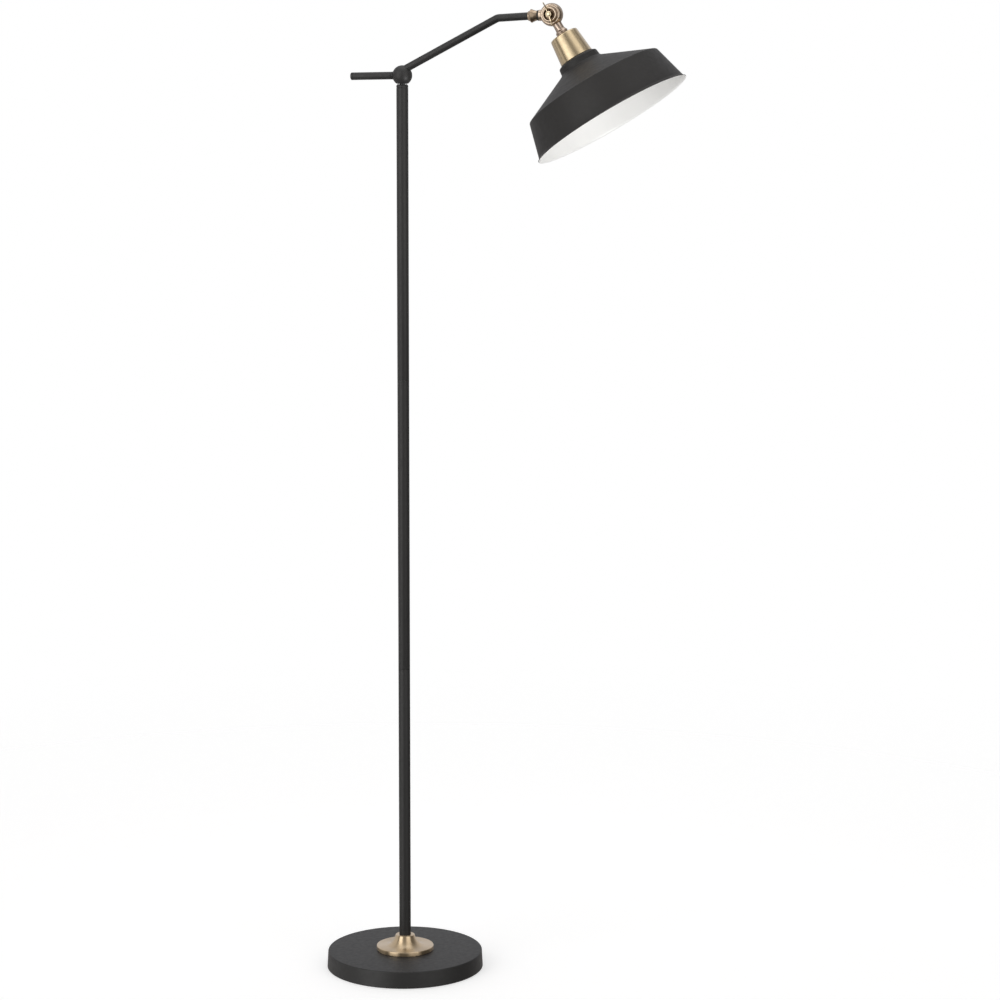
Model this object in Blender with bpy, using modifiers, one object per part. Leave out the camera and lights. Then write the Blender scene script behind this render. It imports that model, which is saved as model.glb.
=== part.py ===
"""Adjustable arm floor lamp: a weighted round base, a three-piece pole, a bent arm that swivels on a
ball joint with a steering handle, and a metal shade on a knuckle joint clamped by a wing nut.

Metres, +Z up. The origin is the centre of the base's underside, on the floor. The arm points along
+X at rest, and the wing nut faces -Y.
"""

import math

import bmesh
import bpy
from mathutils import Matrix, Vector

# Clearances and shared sizes
GAP = 0.0003
WALL = 0.0012
LEAD_R = 0.0018
NIPPLE_R = 0.0050
NIPPLE_BORE_R = 0.0036

# Round-section resolution
STEPS_LARGE = 36
STEPS_BALL = 24
STEPS_SMALL = 20
STEPS_BORE = 16

# Base
BASE_H = 0.028
BASE_TOP_R = 0.1275
BASE_FOOT_R = 0.1290
BASE_EDGE_R = 0.0020
COVER_CLEAR_Z = 0.0008
PAD_H = 0.0020
PAD_R = 0.1225
WEIGHT_R = 0.1200
WEIGHT_TOP_Z = 0.0200
WEIGHT_BOSS_R = 0.0280
COUNTERBORE_R = 0.0160
COUNTERBORE_Z = 0.0180
LEAD_GROOVE_W = 0.0080
LEAD_GROOVE_Z = 0.0095
CORD_ENTRY_Z = 0.0085
CORD_ENTRY_R = 0.0050
GROMMET_HEAD_R = 0.0065
GROMMET_NECK_R = 0.0046
GROMMET_LIP_R = 0.0062
GROMMET_BORE_R = 0.0028
BASE_NIPPLE_Z = (0.0105, 0.0450)
BASE_WASHER_R = 0.0120
BASE_NUT_FLATS = 0.0160
NUT_H = 0.0045

# Brass flange on the base
FLANGE_R = 0.0472
FLANGE_H = 0.0070
FLANGE_TOP_Z = 0.0532
FLANGE_NECK_R = 0.0158
FLANGE_LIP_R = 0.0012
FLANGE_FOOT_R = 0.0320
FLANGE_EDGE_R = 0.0012
POLE_SEAT_Z = 0.0340

# Pole
POLE_R = 0.0095
POLE_BORE_R = 0.0083
POLE_PLUG_R = 0.0080
POLE_JOINTS_Z = (0.5020, 0.9760)
POLE_END_Z = 1.4433
POLE_CAP_TOP_Z = 1.4486
POLE_CAP_SPIGOT_L = 0.0180
COUPLER_HALF_L = 0.0250
PLUG_BORE_R = 0.0040

# Ball joint
BALL_Z = 1.4630
BALL_R = 0.0159
BALL_FLAT_DEPTH = 0.0130
BALL_CAVITY_R = 0.0085
BALL_FLOOR_DEPTH = 0.0095
SWIVEL_NIPPLE_R = 0.0040
SWIVEL_BORE_R = 0.0027
SWIVEL_NUT_R = 0.0054
SWIVEL_WASHER_R = 0.0078
SPRING_WASHER_R = 0.0062
LEAD_HOLE_R = 0.0035

# Handle
TUBE_R = 0.0060
TUBE_WALL = 0.0010
HANDLE_L = 0.0860
HANDLE_STUD_R = 0.0057
HANDLE_DROOP = math.radians(0.9)

# Arm: a sloping length and a nearly level end, with a tight bend between
ARM_BEND = Vector((0.1582, 0.0, 1.5518))
ARM_OFFSET = 0.00665
ARM_BEND_R = 0.0140
PIVOT = Vector((0.2463, 0.0, 1.5565))
ARM_TUBE_END = 0.0305
COLLAR_NEAR = 0.0228
COLLAR_FAR = 0.0375
COLLAR_R = 0.0074
COLLAR_BEAD_R = 0.0107
COLLAR_WASHER_R = 0.0082
COLLAR_WASHER_END = 0.0206

# Knuckle joint
KNUCKLE_R = 0.0180
BOSS_LEDGE_R = 0.0152
BOLT_FACE_R = 0.0120
KNUCKLE_SPLIT = 0.0007
KNUCKLE_SWEEP_R = 0.0184
KNUCKLE_CHAMBER_R = 0.0130
KNUCKLE_CHAMBER_DEPTH = 0.0070
RECESS_R = 0.0088
RECESS_FLOOR = 0.0100
RING_R = 0.0112
RING_TOP = 0.0152
BOSS_FOOT_R = 0.0124
LEAD_WAY_R = 0.0030
BOLT_R = 0.0030
BOLT_END = 0.0210
BOLT_HEAD_R = 0.0058
BOLT_HEAD_Y = (0.0108, 0.0148)
STEM_SPIGOT_R = 0.0049
ARM_STEM_R = 0.0086
HEAD_STEM_R = 0.0072
STEM_FLANGE_R = 0.0103
STEM_GROOVE_R = 0.0088
STEM_END_S = 0.0346
FRICTION_RING_R = (0.0134, 0.0172)
WING_WASHER_R = 0.0078
WING_HUB_R = 0.0056
WING_SPAN = 0.0200
WING_THICK = 0.0024
WING_ANGLE = math.radians(22.0)

# Head: distances are measured from the pivot, along the head's own axis
HEAD_TILT = math.radians(31.4)
CUP_TOP_S = 0.0362
CUP_END_S = 0.0785
CUP_TOP_R = 0.0232
CUP_END_R = 0.0273
CUP_WALL = 0.0015
CUP_NUT_FLATS = 0.0140
STEM_WASHER_R = 0.0100
STEM_WASHER_S = (0.0349, 0.0359)
SHADE_WALL = 0.0010
SHADE_PLATE_S = 0.0790
SHADE_NECK_TOP = (0.0331, 0.0818)
SHADE_NECK_END = (0.0342, 0.0924)
SHADE_SHOULDER = (0.1148, 0.1309)
SHADE_SKIRT_END = (0.1285, 0.1824)
SHADE_RIM = (0.1325, 0.1897)
CONE_DISH = 0.0006
SHADE_RING_R = 0.0262
HOLDER_R = 0.0202
HOLDER_TOP_S = 0.0470
HOLDER_END_S = 0.1040
SOCKET_R = 0.0143
SOCKET_FLOOR_S = 0.0570
SHELL_BORE_R = 0.0133
SHELL_R = 0.0140
SHELL_TOP_S = 0.0615
CONTACT_R = 0.0040


# ---------------------------------------------------------------- helpers


def clear_scene():
    """Remove what the startup file holds."""
    for obj in list(bpy.data.objects):
        bpy.data.objects.remove(obj)


def new_collection(name):
    """A collection in the scene, for the parts or for the cutters."""
    collection = bpy.data.collections.new(name)
    bpy.context.scene.collection.children.link(collection)
    return collection


def metal(name, color, roughness, metallic):
    """A Principled material of one colour."""
    material = bpy.data.materials.new(name)
    material.use_nodes = True
    shader = material.node_tree.nodes["Principled BSDF"]
    shader.inputs["Base Color"].default_value = (*color, 1.0)
    shader.inputs["Roughness"].default_value = roughness
    shader.inputs["Metallic"].default_value = metallic
    return material


def empty(name, matrix, parent=None):
    """A joint axis or a local frame that pieces hang on, placed in the world."""
    frame = bpy.data.objects.new(name, None)
    frame.empty_display_size = 0.02
    parts.objects.link(frame)
    frame.parent = parent
    frame.matrix_world = matrix
    bpy.context.view_layer.update()
    return frame


def add_object(name, data, material, parent=None):
    """Link a mesh or a curve as a named part, in its parent's frame."""
    obj = bpy.data.objects.new(name, data)
    parts.objects.link(obj)
    if material:
        data.materials.append(material)
    obj.parent = parent
    return obj


def arc(center, radius, start, end, count):
    """Points along an arc in the (radius, height) plane, angles in degrees."""
    points = []
    for i in range(count + 1):
        angle = math.radians(start + (end - start) * i / count)
        points.append((center[0] + radius * math.cos(angle), center[1] + radius * math.sin(angle)))
    return points


def flare(start, first_pull, second_pull, end, count):
    """Points along a smooth flare, after its start: the pulls are its two control points."""
    points = []
    for i in range(1, count + 1):
        t = i / count
        shares = ((1.0 - t) ** 3, 3.0 * t * (1.0 - t) ** 2, 3.0 * t * t * (1.0 - t), t ** 3)
        corners = (start, first_pull, second_pull, end)
        radius = sum(share * corner[0] for share, corner in zip(shares, corners))
        height = sum(share * corner[1] for share, corner in zip(shares, corners))
        points.append((radius, height))
    return points


def turned(name, outline, material, parent=None, steps=STEPS_SMALL, closed=True):
    """A turned piece: the outline's (radius, height) points run down its outer side."""
    mesh = bpy.data.meshes.new(name)
    shape = bmesh.new()
    verts = [shape.verts.new((radius, 0.0, height)) for radius, height in outline]
    for a, b in zip(verts, verts[1:]):
        shape.edges.new((a, b))
    if closed and outline[0][0] > 0.0:
        shape.edges.new((verts[-1], verts[0]))
    shape.to_mesh(mesh)
    shape.free()
    obj = add_object(name, mesh, material, parent)
    screw = obj.modifiers.new("Turn", "SCREW")
    screw.axis = "Z"
    screw.steps = steps
    screw.render_steps = steps
    screw.use_merge_vertices = True
    screw.merge_threshold = 0.00002
    screw.use_smooth_shade = True
    return obj


def spun_shell(name, outline, thickness, material, parent=None, steps=STEPS_LARGE):
    """A spun sheet-metal shell: the outline is its outer face, and it thickens inwards."""
    obj = turned(name, outline, material, parent, steps, closed=False)
    solidify = obj.modifiers.new("Sheet", "SOLIDIFY")
    solidify.thickness = thickness
    solidify.offset = -1.0
    solidify.use_even_offset = True
    return obj


def ring(name, inner_r, outer_r, bottom, top, material, parent=None, steps=STEPS_SMALL):
    """A plain washer, tube or bush about its frame's Z axis."""
    outline = [(outer_r, top), (outer_r, bottom), (inner_r, bottom), (inner_r, top)]
    return turned(name, outline, material, parent, steps)


def poly_curve(name, points, radius, resolution, caps):
    """A round rod or tube along straight stretches between points."""
    curve = bpy.data.curves.new(name, "CURVE")
    curve.dimensions = "3D"
    curve.bevel_depth = radius
    curve.bevel_resolution = resolution
    curve.use_fill_caps = caps
    spline = curve.splines.new("POLY")
    spline.points.add(len(points) - 1)
    for slot, point in zip(spline.points, points):
        slot.co = (*point, 1.0)
    return curve


def curve_to_mesh(curve_obj):
    """Replace a curve object by its mesh, with the loose caps welded on."""
    bpy.context.view_layer.update()
    graph = bpy.context.evaluated_depsgraph_get()
    mesh = bpy.data.meshes.new_from_object(curve_obj.evaluated_get(graph))
    shape = bmesh.new()
    shape.from_mesh(mesh)
    bmesh.ops.remove_doubles(shape, verts=shape.verts, dist=0.000001)
    shape.to_mesh(mesh)
    shape.free()
    name = curve_obj.name
    parent = curve_obj.parent
    matrix = curve_obj.matrix_world.copy()
    bpy.data.objects.remove(curve_obj)
    obj = bpy.data.objects.new(name, mesh)
    parts.objects.link(obj)
    obj.parent = parent
    obj.matrix_world = matrix
    return obj


def bent_tube(name, points, radius, wall, material, parent=None):
    """A thin-walled tube along a path, open at both ends."""
    curve = poly_curve(name, points, radius, 6, caps=False)
    obj = curve_to_mesh(add_object(name, curve, material, parent))
    obj.data.shade_smooth()
    solidify = obj.modifiers.new("Wall", "SOLIDIFY")
    solidify.thickness = wall
    solidify.offset = -1.0
    return obj


def lead(name, points, material, parent=None):
    """An insulated lead along a path inside the lamp."""
    curve = poly_curve(name, points, LEAD_R, 2, caps=True)
    return add_object(name, curve, material, parent)


def as_cutter(obj):
    """Move a helper shape out of the parts, so that it only cuts or joins."""
    parts.objects.unlink(obj)
    cutters.objects.link(obj)
    obj.hide_render = True
    obj.display_type = "WIRE"
    return obj


def boolean(obj, other, operation):
    """Cut or join a helper shape into a part."""
    modifier = obj.modifiers.new(other.name, "BOOLEAN")
    modifier.operation = operation
    modifier.solver = "EXACT"
    modifier.object = as_cutter(other)


def cylinder(name, radius, start, end, parent=None, steps=STEPS_SMALL):
    """A helper cylinder between two points of its parent's frame."""
    span = Vector(end) - Vector(start)
    mesh = bpy.data.meshes.new(name)
    shape = bmesh.new()
    bmesh.ops.create_cone(
        shape, cap_ends=True, segments=steps, radius1=radius, radius2=radius, depth=span.length
    )
    turn = span.to_track_quat("Z", "Y").to_matrix().to_4x4()
    middle = Matrix.Translation((Vector(start) + Vector(end)) / 2.0)
    bmesh.ops.transform(shape, matrix=middle @ turn, verts=shape.verts)
    shape.to_mesh(mesh)
    shape.free()
    return add_object(name, mesh, None, parent)


def box(name, low, high, parent=None):
    """A helper box between two corners of its parent's frame."""
    mesh = bpy.data.meshes.new(name)
    shape = bmesh.new()
    bmesh.ops.create_cube(shape, size=1.0)
    size = Vector(high) - Vector(low)
    middle = (Vector(high) + Vector(low)) / 2.0
    fit = Matrix.Translation(middle) @ Matrix.Diagonal((*size, 1.0))
    bmesh.ops.transform(shape, matrix=fit, verts=shape.verts)
    shape.to_mesh(mesh)
    shape.free()
    return add_object(name, mesh, None, parent)


def hex_nut(name, flats, bore_r, bottom, top, material, parent=None):
    """A hexagon nut about its frame's Z axis."""
    mesh = bpy.data.meshes.new(name)
    shape = bmesh.new()
    corner = flats / 2.0 / math.cos(math.radians(30.0))
    bmesh.ops.create_cone(
        shape, cap_ends=True, segments=6, radius1=corner, radius2=corner, depth=top - bottom
    )
    bmesh.ops.translate(shape, verts=shape.verts, vec=(0.0, 0.0, (top + bottom) / 2.0))
    shape.to_mesh(mesh)
    shape.free()
    nut = add_object(name, mesh, material, parent)
    boolean(nut, cylinder(name + "_bore", bore_r, (0, 0, bottom - 0.01), (0, 0, top + 0.01), parent),
            "DIFFERENCE")
    return nut


def head_outline(points):
    """Outline points given as (radius, distance from the pivot) in the head's downward frame."""
    return [(radius, -distance) for radius, distance in points]


# ---------------------------------------------------------------- base


def make_base_pad():
    """A felt disc under the weight: the face that the lamp rests on."""
    outline = [(0.0, PAD_H), (PAD_R, PAD_H), (PAD_R, 0.0), (0.0, 0.0)]
    turned("base_pad", outline, felt, steps=STEPS_LARGE)


def make_base_weight():
    """A cast iron disc with a boss, a counterbore for the nut and a groove for the lead."""
    low = PAD_H + GAP
    boss_top = BASE_H - WALL - 0.0004
    bore = NIPPLE_R + 0.0004
    outline = [
        (bore, boss_top),
        (WEIGHT_BOSS_R, boss_top),
        (WEIGHT_BOSS_R + 0.003, WEIGHT_TOP_Z),
        (WEIGHT_R - 0.002, WEIGHT_TOP_Z),
        (WEIGHT_R, WEIGHT_TOP_Z - 0.002),
        (WEIGHT_R, low),
        (COUNTERBORE_R, low),
        (COUNTERBORE_R, COUNTERBORE_Z),
        (bore, COUNTERBORE_Z),
    ]
    weight = turned("base_weight", outline, cast_iron, steps=STEPS_LARGE)
    half = LEAD_GROOVE_W / 2.0
    groove = box("weight_groove", (-half, 0.008, -0.002), (half, WEIGHT_R + 0.01, LEAD_GROOVE_Z))
    boolean(weight, groove, "DIFFERENCE")


def make_base_cover():
    """A pressed steel cover over the weight, with a cord entry at the rear."""
    edge = arc((BASE_TOP_R - BASE_EDGE_R, BASE_H - BASE_EDGE_R), BASE_EDGE_R, 90.0, 0.0, 3)
    outline = [(NIPPLE_R + 0.0005, BASE_H), *edge, (BASE_FOOT_R, COVER_CLEAR_Z)]
    cover = spun_shell("base_cover", outline, WALL, black_paint)
    entry = cylinder(
        "cover_cord_entry", CORD_ENTRY_R, (0, 0.115, CORD_ENTRY_Z), (0, 0.140, CORD_ENTRY_Z)
    )
    boolean(cover, entry, "DIFFERENCE")


def make_cord_grommet():
    """A rubber grommet snapped into the cover's rear wall, where the mains cord goes in."""
    wall_y = BASE_FOOT_R - 0.0005
    frame = Matrix.Translation((0, wall_y, CORD_ENTRY_Z)) @ Matrix.Rotation(math.radians(-90.0), 4, "X")
    outline = [
        (GROMMET_HEAD_R - 0.0007, 0.0022),
        (GROMMET_HEAD_R, 0.0014),
        (GROMMET_HEAD_R, 0.0006),
        (GROMMET_NECK_R, 0.0006),
        (GROMMET_NECK_R, -0.0022),
        (GROMMET_LIP_R, -0.0022),
        (GROMMET_LIP_R, -0.0036),
        (GROMMET_BORE_R, -0.0036),
        (GROMMET_BORE_R, 0.0022),
    ]
    grommet = turned("base_cord_grommet", outline, rubber)
    grommet.matrix_world = frame


def make_base_fastening():
    """The threaded nipple, washer and nut that hold the weight, cover, flange and pole together."""
    low, high = BASE_NIPPLE_Z
    ring("base_nipple", NIPPLE_BORE_R, NIPPLE_R, low, high, zinc_steel, steps=STEPS_BORE)
    washer_top = COUNTERBORE_Z - GAP
    washer_low = washer_top - 0.0015
    ring("base_washer", NIPPLE_R + GAP, BASE_WASHER_R, washer_low, washer_top, zinc_steel)
    nut_top = washer_low - GAP
    hex_nut("base_nut", BASE_NUT_FLATS, NIPPLE_R + GAP, nut_top - NUT_H, nut_top, zinc_steel)


def make_base_flange():
    """A brass trumpet flange that covers the pole's foot."""
    bottom = BASE_H + GAP
    rim_top = bottom + FLANGE_H
    seat_r = POLE_R + GAP
    lip_center = (FLANGE_NECK_R - FLANGE_LIP_R, FLANGE_TOP_Z - FLANGE_LIP_R)
    lip = arc(lip_center, FLANGE_LIP_R, 90.0, 20.0, 2)
    neck_pull = (FLANGE_NECK_R + 0.0022, FLANGE_TOP_Z - 0.0077)
    foot_pull = (FLANGE_FOOT_R - 0.0085, rim_top + 0.0017)
    outline = [
        (seat_r, FLANGE_TOP_Z),
        *lip,
        *flare(lip[-1], neck_pull, foot_pull, (FLANGE_FOOT_R, rim_top + 0.0003), 6),
        *arc((FLANGE_R - FLANGE_EDGE_R, rim_top - FLANGE_EDGE_R), FLANGE_EDGE_R, 90.0, 0.0, 2),
        (FLANGE_R, bottom + 0.0006),
        (FLANGE_R - 0.0006, bottom),
        (NIPPLE_R + GAP, bottom),
        (NIPPLE_R + GAP, POLE_SEAT_Z),
        (seat_r, POLE_SEAT_Z),
    ]
    turned("base_flange", outline, brass_polished, steps=STEPS_LARGE)


# ---------------------------------------------------------------- pole


def make_pole():
    """Three tubes screwed end to end, with the couplers inside them."""
    ends = [POLE_SEAT_Z + GAP / 2.0, *POLE_JOINTS_Z, POLE_END_Z]
    for name, low, high in zip(("pole_lower", "pole_middle", "pole_upper"), ends, ends[1:]):
        ring(name, POLE_BORE_R, POLE_R, low + GAP / 2.0, high - GAP / 2.0, black_paint)
    for name, z in zip(("pole_coupler_lower", "pole_coupler_upper"), POLE_JOINTS_Z):
        low, high = z - COUPLER_HALF_L, z + COUPLER_HALF_L
        ring(name, PLUG_BORE_R, POLE_PLUG_R, low, high, zinc_steel, steps=STEPS_BORE)


def make_pole_foot_plug():
    """The threaded plug in the pole's foot that the base nipple screws into."""
    low = POLE_SEAT_Z + 2.0 * GAP
    top = low + COUPLER_HALF_L
    nipple_end = BASE_NIPPLE_Z[1] + GAP
    outline = [
        (PLUG_BORE_R, top),
        (POLE_PLUG_R, top),
        (POLE_PLUG_R, low),
        (NIPPLE_R + GAP, low),
        (NIPPLE_R + GAP, nipple_end),
        (PLUG_BORE_R, nipple_end),
    ]
    turned("pole_foot_plug", outline, zinc_steel, steps=STEPS_BORE)


def make_pole_cap():
    """The turned ferrule that closes the pole's top and holds the swivel nipple."""
    low = POLE_END_Z + GAP / 2.0
    bore = SWIVEL_NIPPLE_R + GAP
    outline = [
        (bore, POLE_CAP_TOP_Z),
        (POLE_R - 0.0012, POLE_CAP_TOP_Z),
        (POLE_R, POLE_CAP_TOP_Z - 0.0020),
        (POLE_R, low),
        (POLE_PLUG_R, low),
        (POLE_PLUG_R, low - POLE_CAP_SPIGOT_L),
        (bore, low - POLE_CAP_SPIGOT_L),
    ]
    turned("pole_cap", outline, black_paint)


def make_swivel():
    """The hollow stud in the pole cap that the ball turns on, with its washers and nut."""
    steel = {"material": zinc_steel, "steps": STEPS_BORE}
    stud_low = POLE_END_Z - POLE_CAP_SPIGOT_L + 0.0030
    ring("swivel_nipple", SWIVEL_BORE_R, SWIVEL_NIPPLE_R, stud_low, BALL_Z - 0.0035, **steel)
    bore = SWIVEL_NIPPLE_R + GAP
    flat_z = BALL_Z - BALL_FLAT_DEPTH
    ring("swivel_washer", bore, SWIVEL_WASHER_R, POLE_CAP_TOP_Z + GAP, flat_z - GAP, nylon)
    floor_z = BALL_Z - BALL_FLOOR_DEPTH
    ring("swivel_spring_washer", bore, SPRING_WASHER_R, floor_z + GAP, floor_z + 0.0011, **steel)
    ring("swivel_nut", bore, SWIVEL_NUT_R, floor_z + 0.0014, floor_z + 0.0046, **steel)


# ---------------------------------------------------------------- ball, handle and arm


def arm_axis():
    """(foot, direction) of the arm's sloping axis; foot is its nearest point to the ball's centre."""
    ball = Vector((0.0, 0.0, BALL_Z))
    to_bend = ARM_BEND - ball
    slope = math.atan2(to_bend.z, to_bend.x) - math.asin(ARM_OFFSET / to_bend.length)
    direction = Vector((math.cos(slope), 0.0, math.sin(slope)))
    foot = ball + ARM_OFFSET * Vector((-direction.z, 0.0, direction.x))
    return foot, direction


def arm_end_axis():
    """Direction from the bend to the knuckle's pivot."""
    return (PIVOT - ARM_BEND).normalized()


def make_ball():
    """The hollow ball: it turns on the swivel nipple and carries the handle and the arm."""
    half = math.degrees(math.asin(BALL_FLAT_DEPTH / BALL_R))
    bore = SWIVEL_NIPPLE_R + GAP
    outline = [
        (0.0, BALL_R),
        *arc((0.0, 0.0), BALL_R, 78.0, -half, 10),
        (bore, -BALL_FLAT_DEPTH),
        (bore, -BALL_FLOOR_DEPTH),
        (BALL_CAVITY_R, -BALL_FLOOR_DEPTH),
        (BALL_CAVITY_R, 0.0055),
        (0.0045, 0.0090),
        (0.0, 0.0090),
    ]
    ball = turned("ball_joint_body", outline, black_paint, swivel_axis, steps=STEPS_BALL)
    foot, along = arm_axis()
    start = foot - Vector((0.0, 0.0, BALL_Z))
    outside = start + 0.0250 * along
    arm_hole = cylinder("ball_arm_hole", TUBE_R + GAP, start + 0.0072 * along, outside, swivel_axis)
    boolean(ball, arm_hole, "DIFFERENCE")
    inside = start + 0.0010 * along
    lead_hole = cylinder(
        "ball_lead_hole", LEAD_HOLE_R, inside, start + 0.0100 * along, swivel_axis, STEPS_BORE
    )
    boolean(ball, lead_hole, "DIFFERENCE")
    stud_hole = cylinder(
        "ball_handle_hole", HANDLE_STUD_R + GAP, (-0.0220, 0, 0), (-0.0060, 0, 0), swivel_axis
    )
    boolean(ball, stud_hole, "DIFFERENCE")


def make_handle():
    """The steering handle: a tube on a fitting screwed into the ball, with an end plug."""
    inner_r = TUBE_R - TUBE_WALL - GAP
    fitting = [
        (0.0, -0.0095),
        (HANDLE_STUD_R, -0.0095),
        (HANDLE_STUD_R, -0.0150),
        (TUBE_R + 0.0002, -0.0150),
        (TUBE_R + 0.0002, -0.0176),
        (inner_r, -0.0176),
        (inner_r, -0.0300),
        (0.0, -0.0300),
    ]
    turned("handle_fitting", fitting, black_paint, handle_frame)
    tube_end = -HANDLE_L + 0.0040
    ring("handle_tube", TUBE_R - TUBE_WALL, TUBE_R, tube_end, -0.0179, black_paint, handle_frame)
    plug = [
        (0.0, tube_end + 0.0120),
        (inner_r, tube_end + 0.0120),
        (inner_r, tube_end - GAP),
        (TUBE_R, tube_end - GAP),
        *arc((TUBE_R - 0.0012, -HANDLE_L + 0.0012), 0.0012, 0.0, -90.0, 3),
        (0.0, -HANDLE_L),
    ]
    turned("handle_end_plug", plug, black_paint, handle_frame)


def bend_points(start, corner, end, radius, count):
    """A straight path with its corner rounded to an arc of the given radius."""
    into = (corner - start).normalized()
    away = (end - corner).normalized()
    turn = into.angle(away)
    first = corner - radius * math.tan(turn / 2.0) * into
    side = (away - into * away.dot(into)).normalized()
    center = first + radius * side
    points = [start]
    for i in range(count + 1):
        angle = turn * i / count
        points.append(center + radius * (math.sin(angle) * into - math.cos(angle) * side))
    points.append(end)
    return points


def arm_path(start, end_distance, count):
    """The arm's centre line from a distance along its slope to a distance before the pivot."""
    foot, along = arm_axis()
    end = PIVOT - end_distance * arm_end_axis()
    return bend_points(foot + start * along, ARM_BEND, end, ARM_BEND_R, count)


def local_points(points, frame):
    """World points in a frame's own coordinates."""
    inverse = frame.matrix_world.inverted()
    return [inverse @ Vector(point) for point in points]


def make_arm_tube():
    """The bent steel arm from the ball to the brass collar."""
    path = arm_path(0.0075, ARM_TUBE_END, 5)
    bent_tube("arm_tube", local_points(path, swivel_axis), TUBE_R, TUBE_WALL, black_paint, swivel_axis)


def make_arm_collar():
    """The brass collar with a raised bead over the arm's end, and the black washer beyond it."""
    bore = NIPPLE_R + GAP
    tube_bore = TUBE_R + GAP
    shoulder = -ARM_TUBE_END + GAP
    bead = -COLLAR_NEAR - 0.0098
    outline = [
        (bore, -COLLAR_NEAR),
        (COLLAR_R, -COLLAR_NEAR),
        (COLLAR_R + 0.0008, bead + 0.0058),
        (COLLAR_BEAD_R - 0.0003, bead + 0.0006),
        (COLLAR_BEAD_R, bead),
        (COLLAR_BEAD_R - 0.0003, bead - 0.0006),
        (COLLAR_R + 0.0006, bead - 0.0024),
        (COLLAR_R, -COLLAR_FAR),
        (tube_bore, -COLLAR_FAR),
        (tube_bore, shoulder),
        (bore, shoulder),
    ]
    turned("arm_collar", outline, brass_antique, arm_end_frame)
    washer_span = (-COLLAR_NEAR + GAP, -COLLAR_WASHER_END)
    ring("arm_washer", bore, COLLAR_WASHER_R, *washer_span, black_rubber, arm_end_frame)


# ---------------------------------------------------------------- knuckle


def knuckle_outline(face, face_r):
    """Half of the round knuckle about the pivot axis, from its outer face down to the split."""
    start = math.degrees(math.acos(face_r / KNUCKLE_R))
    end = math.degrees(math.asin(KNUCKLE_SPLIT / KNUCKLE_R))
    return [
        *face,
        *arc((0.0, 0.0), KNUCKLE_R, start, end, 5),
        (KNUCKLE_CHAMBER_R, KNUCKLE_SPLIT),
        (KNUCKLE_CHAMBER_R, KNUCKLE_CHAMBER_DEPTH),
        (0.0062, KNUCKLE_CHAMBER_DEPTH),
        (0.0054, KNUCKLE_SPLIT),
        (BOLT_R + GAP, KNUCKLE_SPLIT),
    ]


def other_half_sweep(name):
    """The space that the other half's ball turns in, up to its side of the split."""
    end = -math.degrees(math.asin(KNUCKLE_SPLIT / KNUCKLE_SWEEP_R))
    outline = [
        (0.0, KNUCKLE_SWEEP_R),
        *arc((0.0, 0.0), KNUCKLE_SWEEP_R, 75.0, end, 6),
        (0.0, -KNUCKLE_SPLIT),
    ]
    return turned(name, outline, None, steps=STEPS_BALL)


def make_knuckle_half(name, face, face_r, stem_outline, frame, side):
    """One half: side is -1 towards -Y and +1 towards +Y; the stem runs down the frame's Z axis."""
    half = turned(name, knuckle_outline(face, face_r), brass_antique, frame, steps=STEPS_BALL)
    half.rotation_euler.x = math.radians(-90.0 * side)
    stem = turned(name + "_stem", stem_outline, None, frame)
    sweep = other_half_sweep(name + "_sweep")
    sweep.parent = frame
    sweep.rotation_euler.x = math.radians(90.0 * side)
    boolean(stem, sweep, "DIFFERENCE")
    boolean(half, stem, "UNION")
    chamber_end = (0, 0.0050 * side, -0.0090)
    stem_end = (0, -0.0004 * side, -0.0260)
    slant = cylinder(name + "_lead_way", LEAD_WAY_R, chamber_end, stem_end, frame, STEPS_BORE)
    boolean(half, slant, "DIFFERENCE")
    bore = cylinder(name + "_bore", LEAD_WAY_R, (0, 0, -0.0225), (0, 0, -0.0600), frame, STEPS_BORE)
    boolean(half, bore, "DIFFERENCE")


def make_arm_half():
    """The knuckle half on the arm, with a raised boss round the wing nut's recess."""
    ledge_y = math.sqrt(KNUCKLE_R ** 2 - BOSS_LEDGE_R ** 2)
    face = [
        (BOLT_R + GAP, RECESS_FLOOR),
        (RECESS_R, RECESS_FLOOR),
        (RECESS_R, RING_TOP - 0.0005),
        (RECESS_R + 0.0006, RING_TOP),
        (RING_R - 0.0006, RING_TOP),
        (RING_R, RING_TOP - 0.0006),
        (BOSS_FOOT_R, ledge_y - 0.0003),
    ]
    stem = [
        (0.0, -0.0145),
        (ARM_STEM_R, -0.0145),
        (ARM_STEM_R, -0.0196),
        (ARM_STEM_R - 0.0006, -0.0203),
        (STEM_SPIGOT_R, -0.0203),
        (STEM_SPIGOT_R, -0.0290),
        (0.0, -0.0290),
    ]
    make_knuckle_half("knuckle_arm_half", face, BOSS_LEDGE_R, stem, arm_end_frame, -1)


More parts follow.
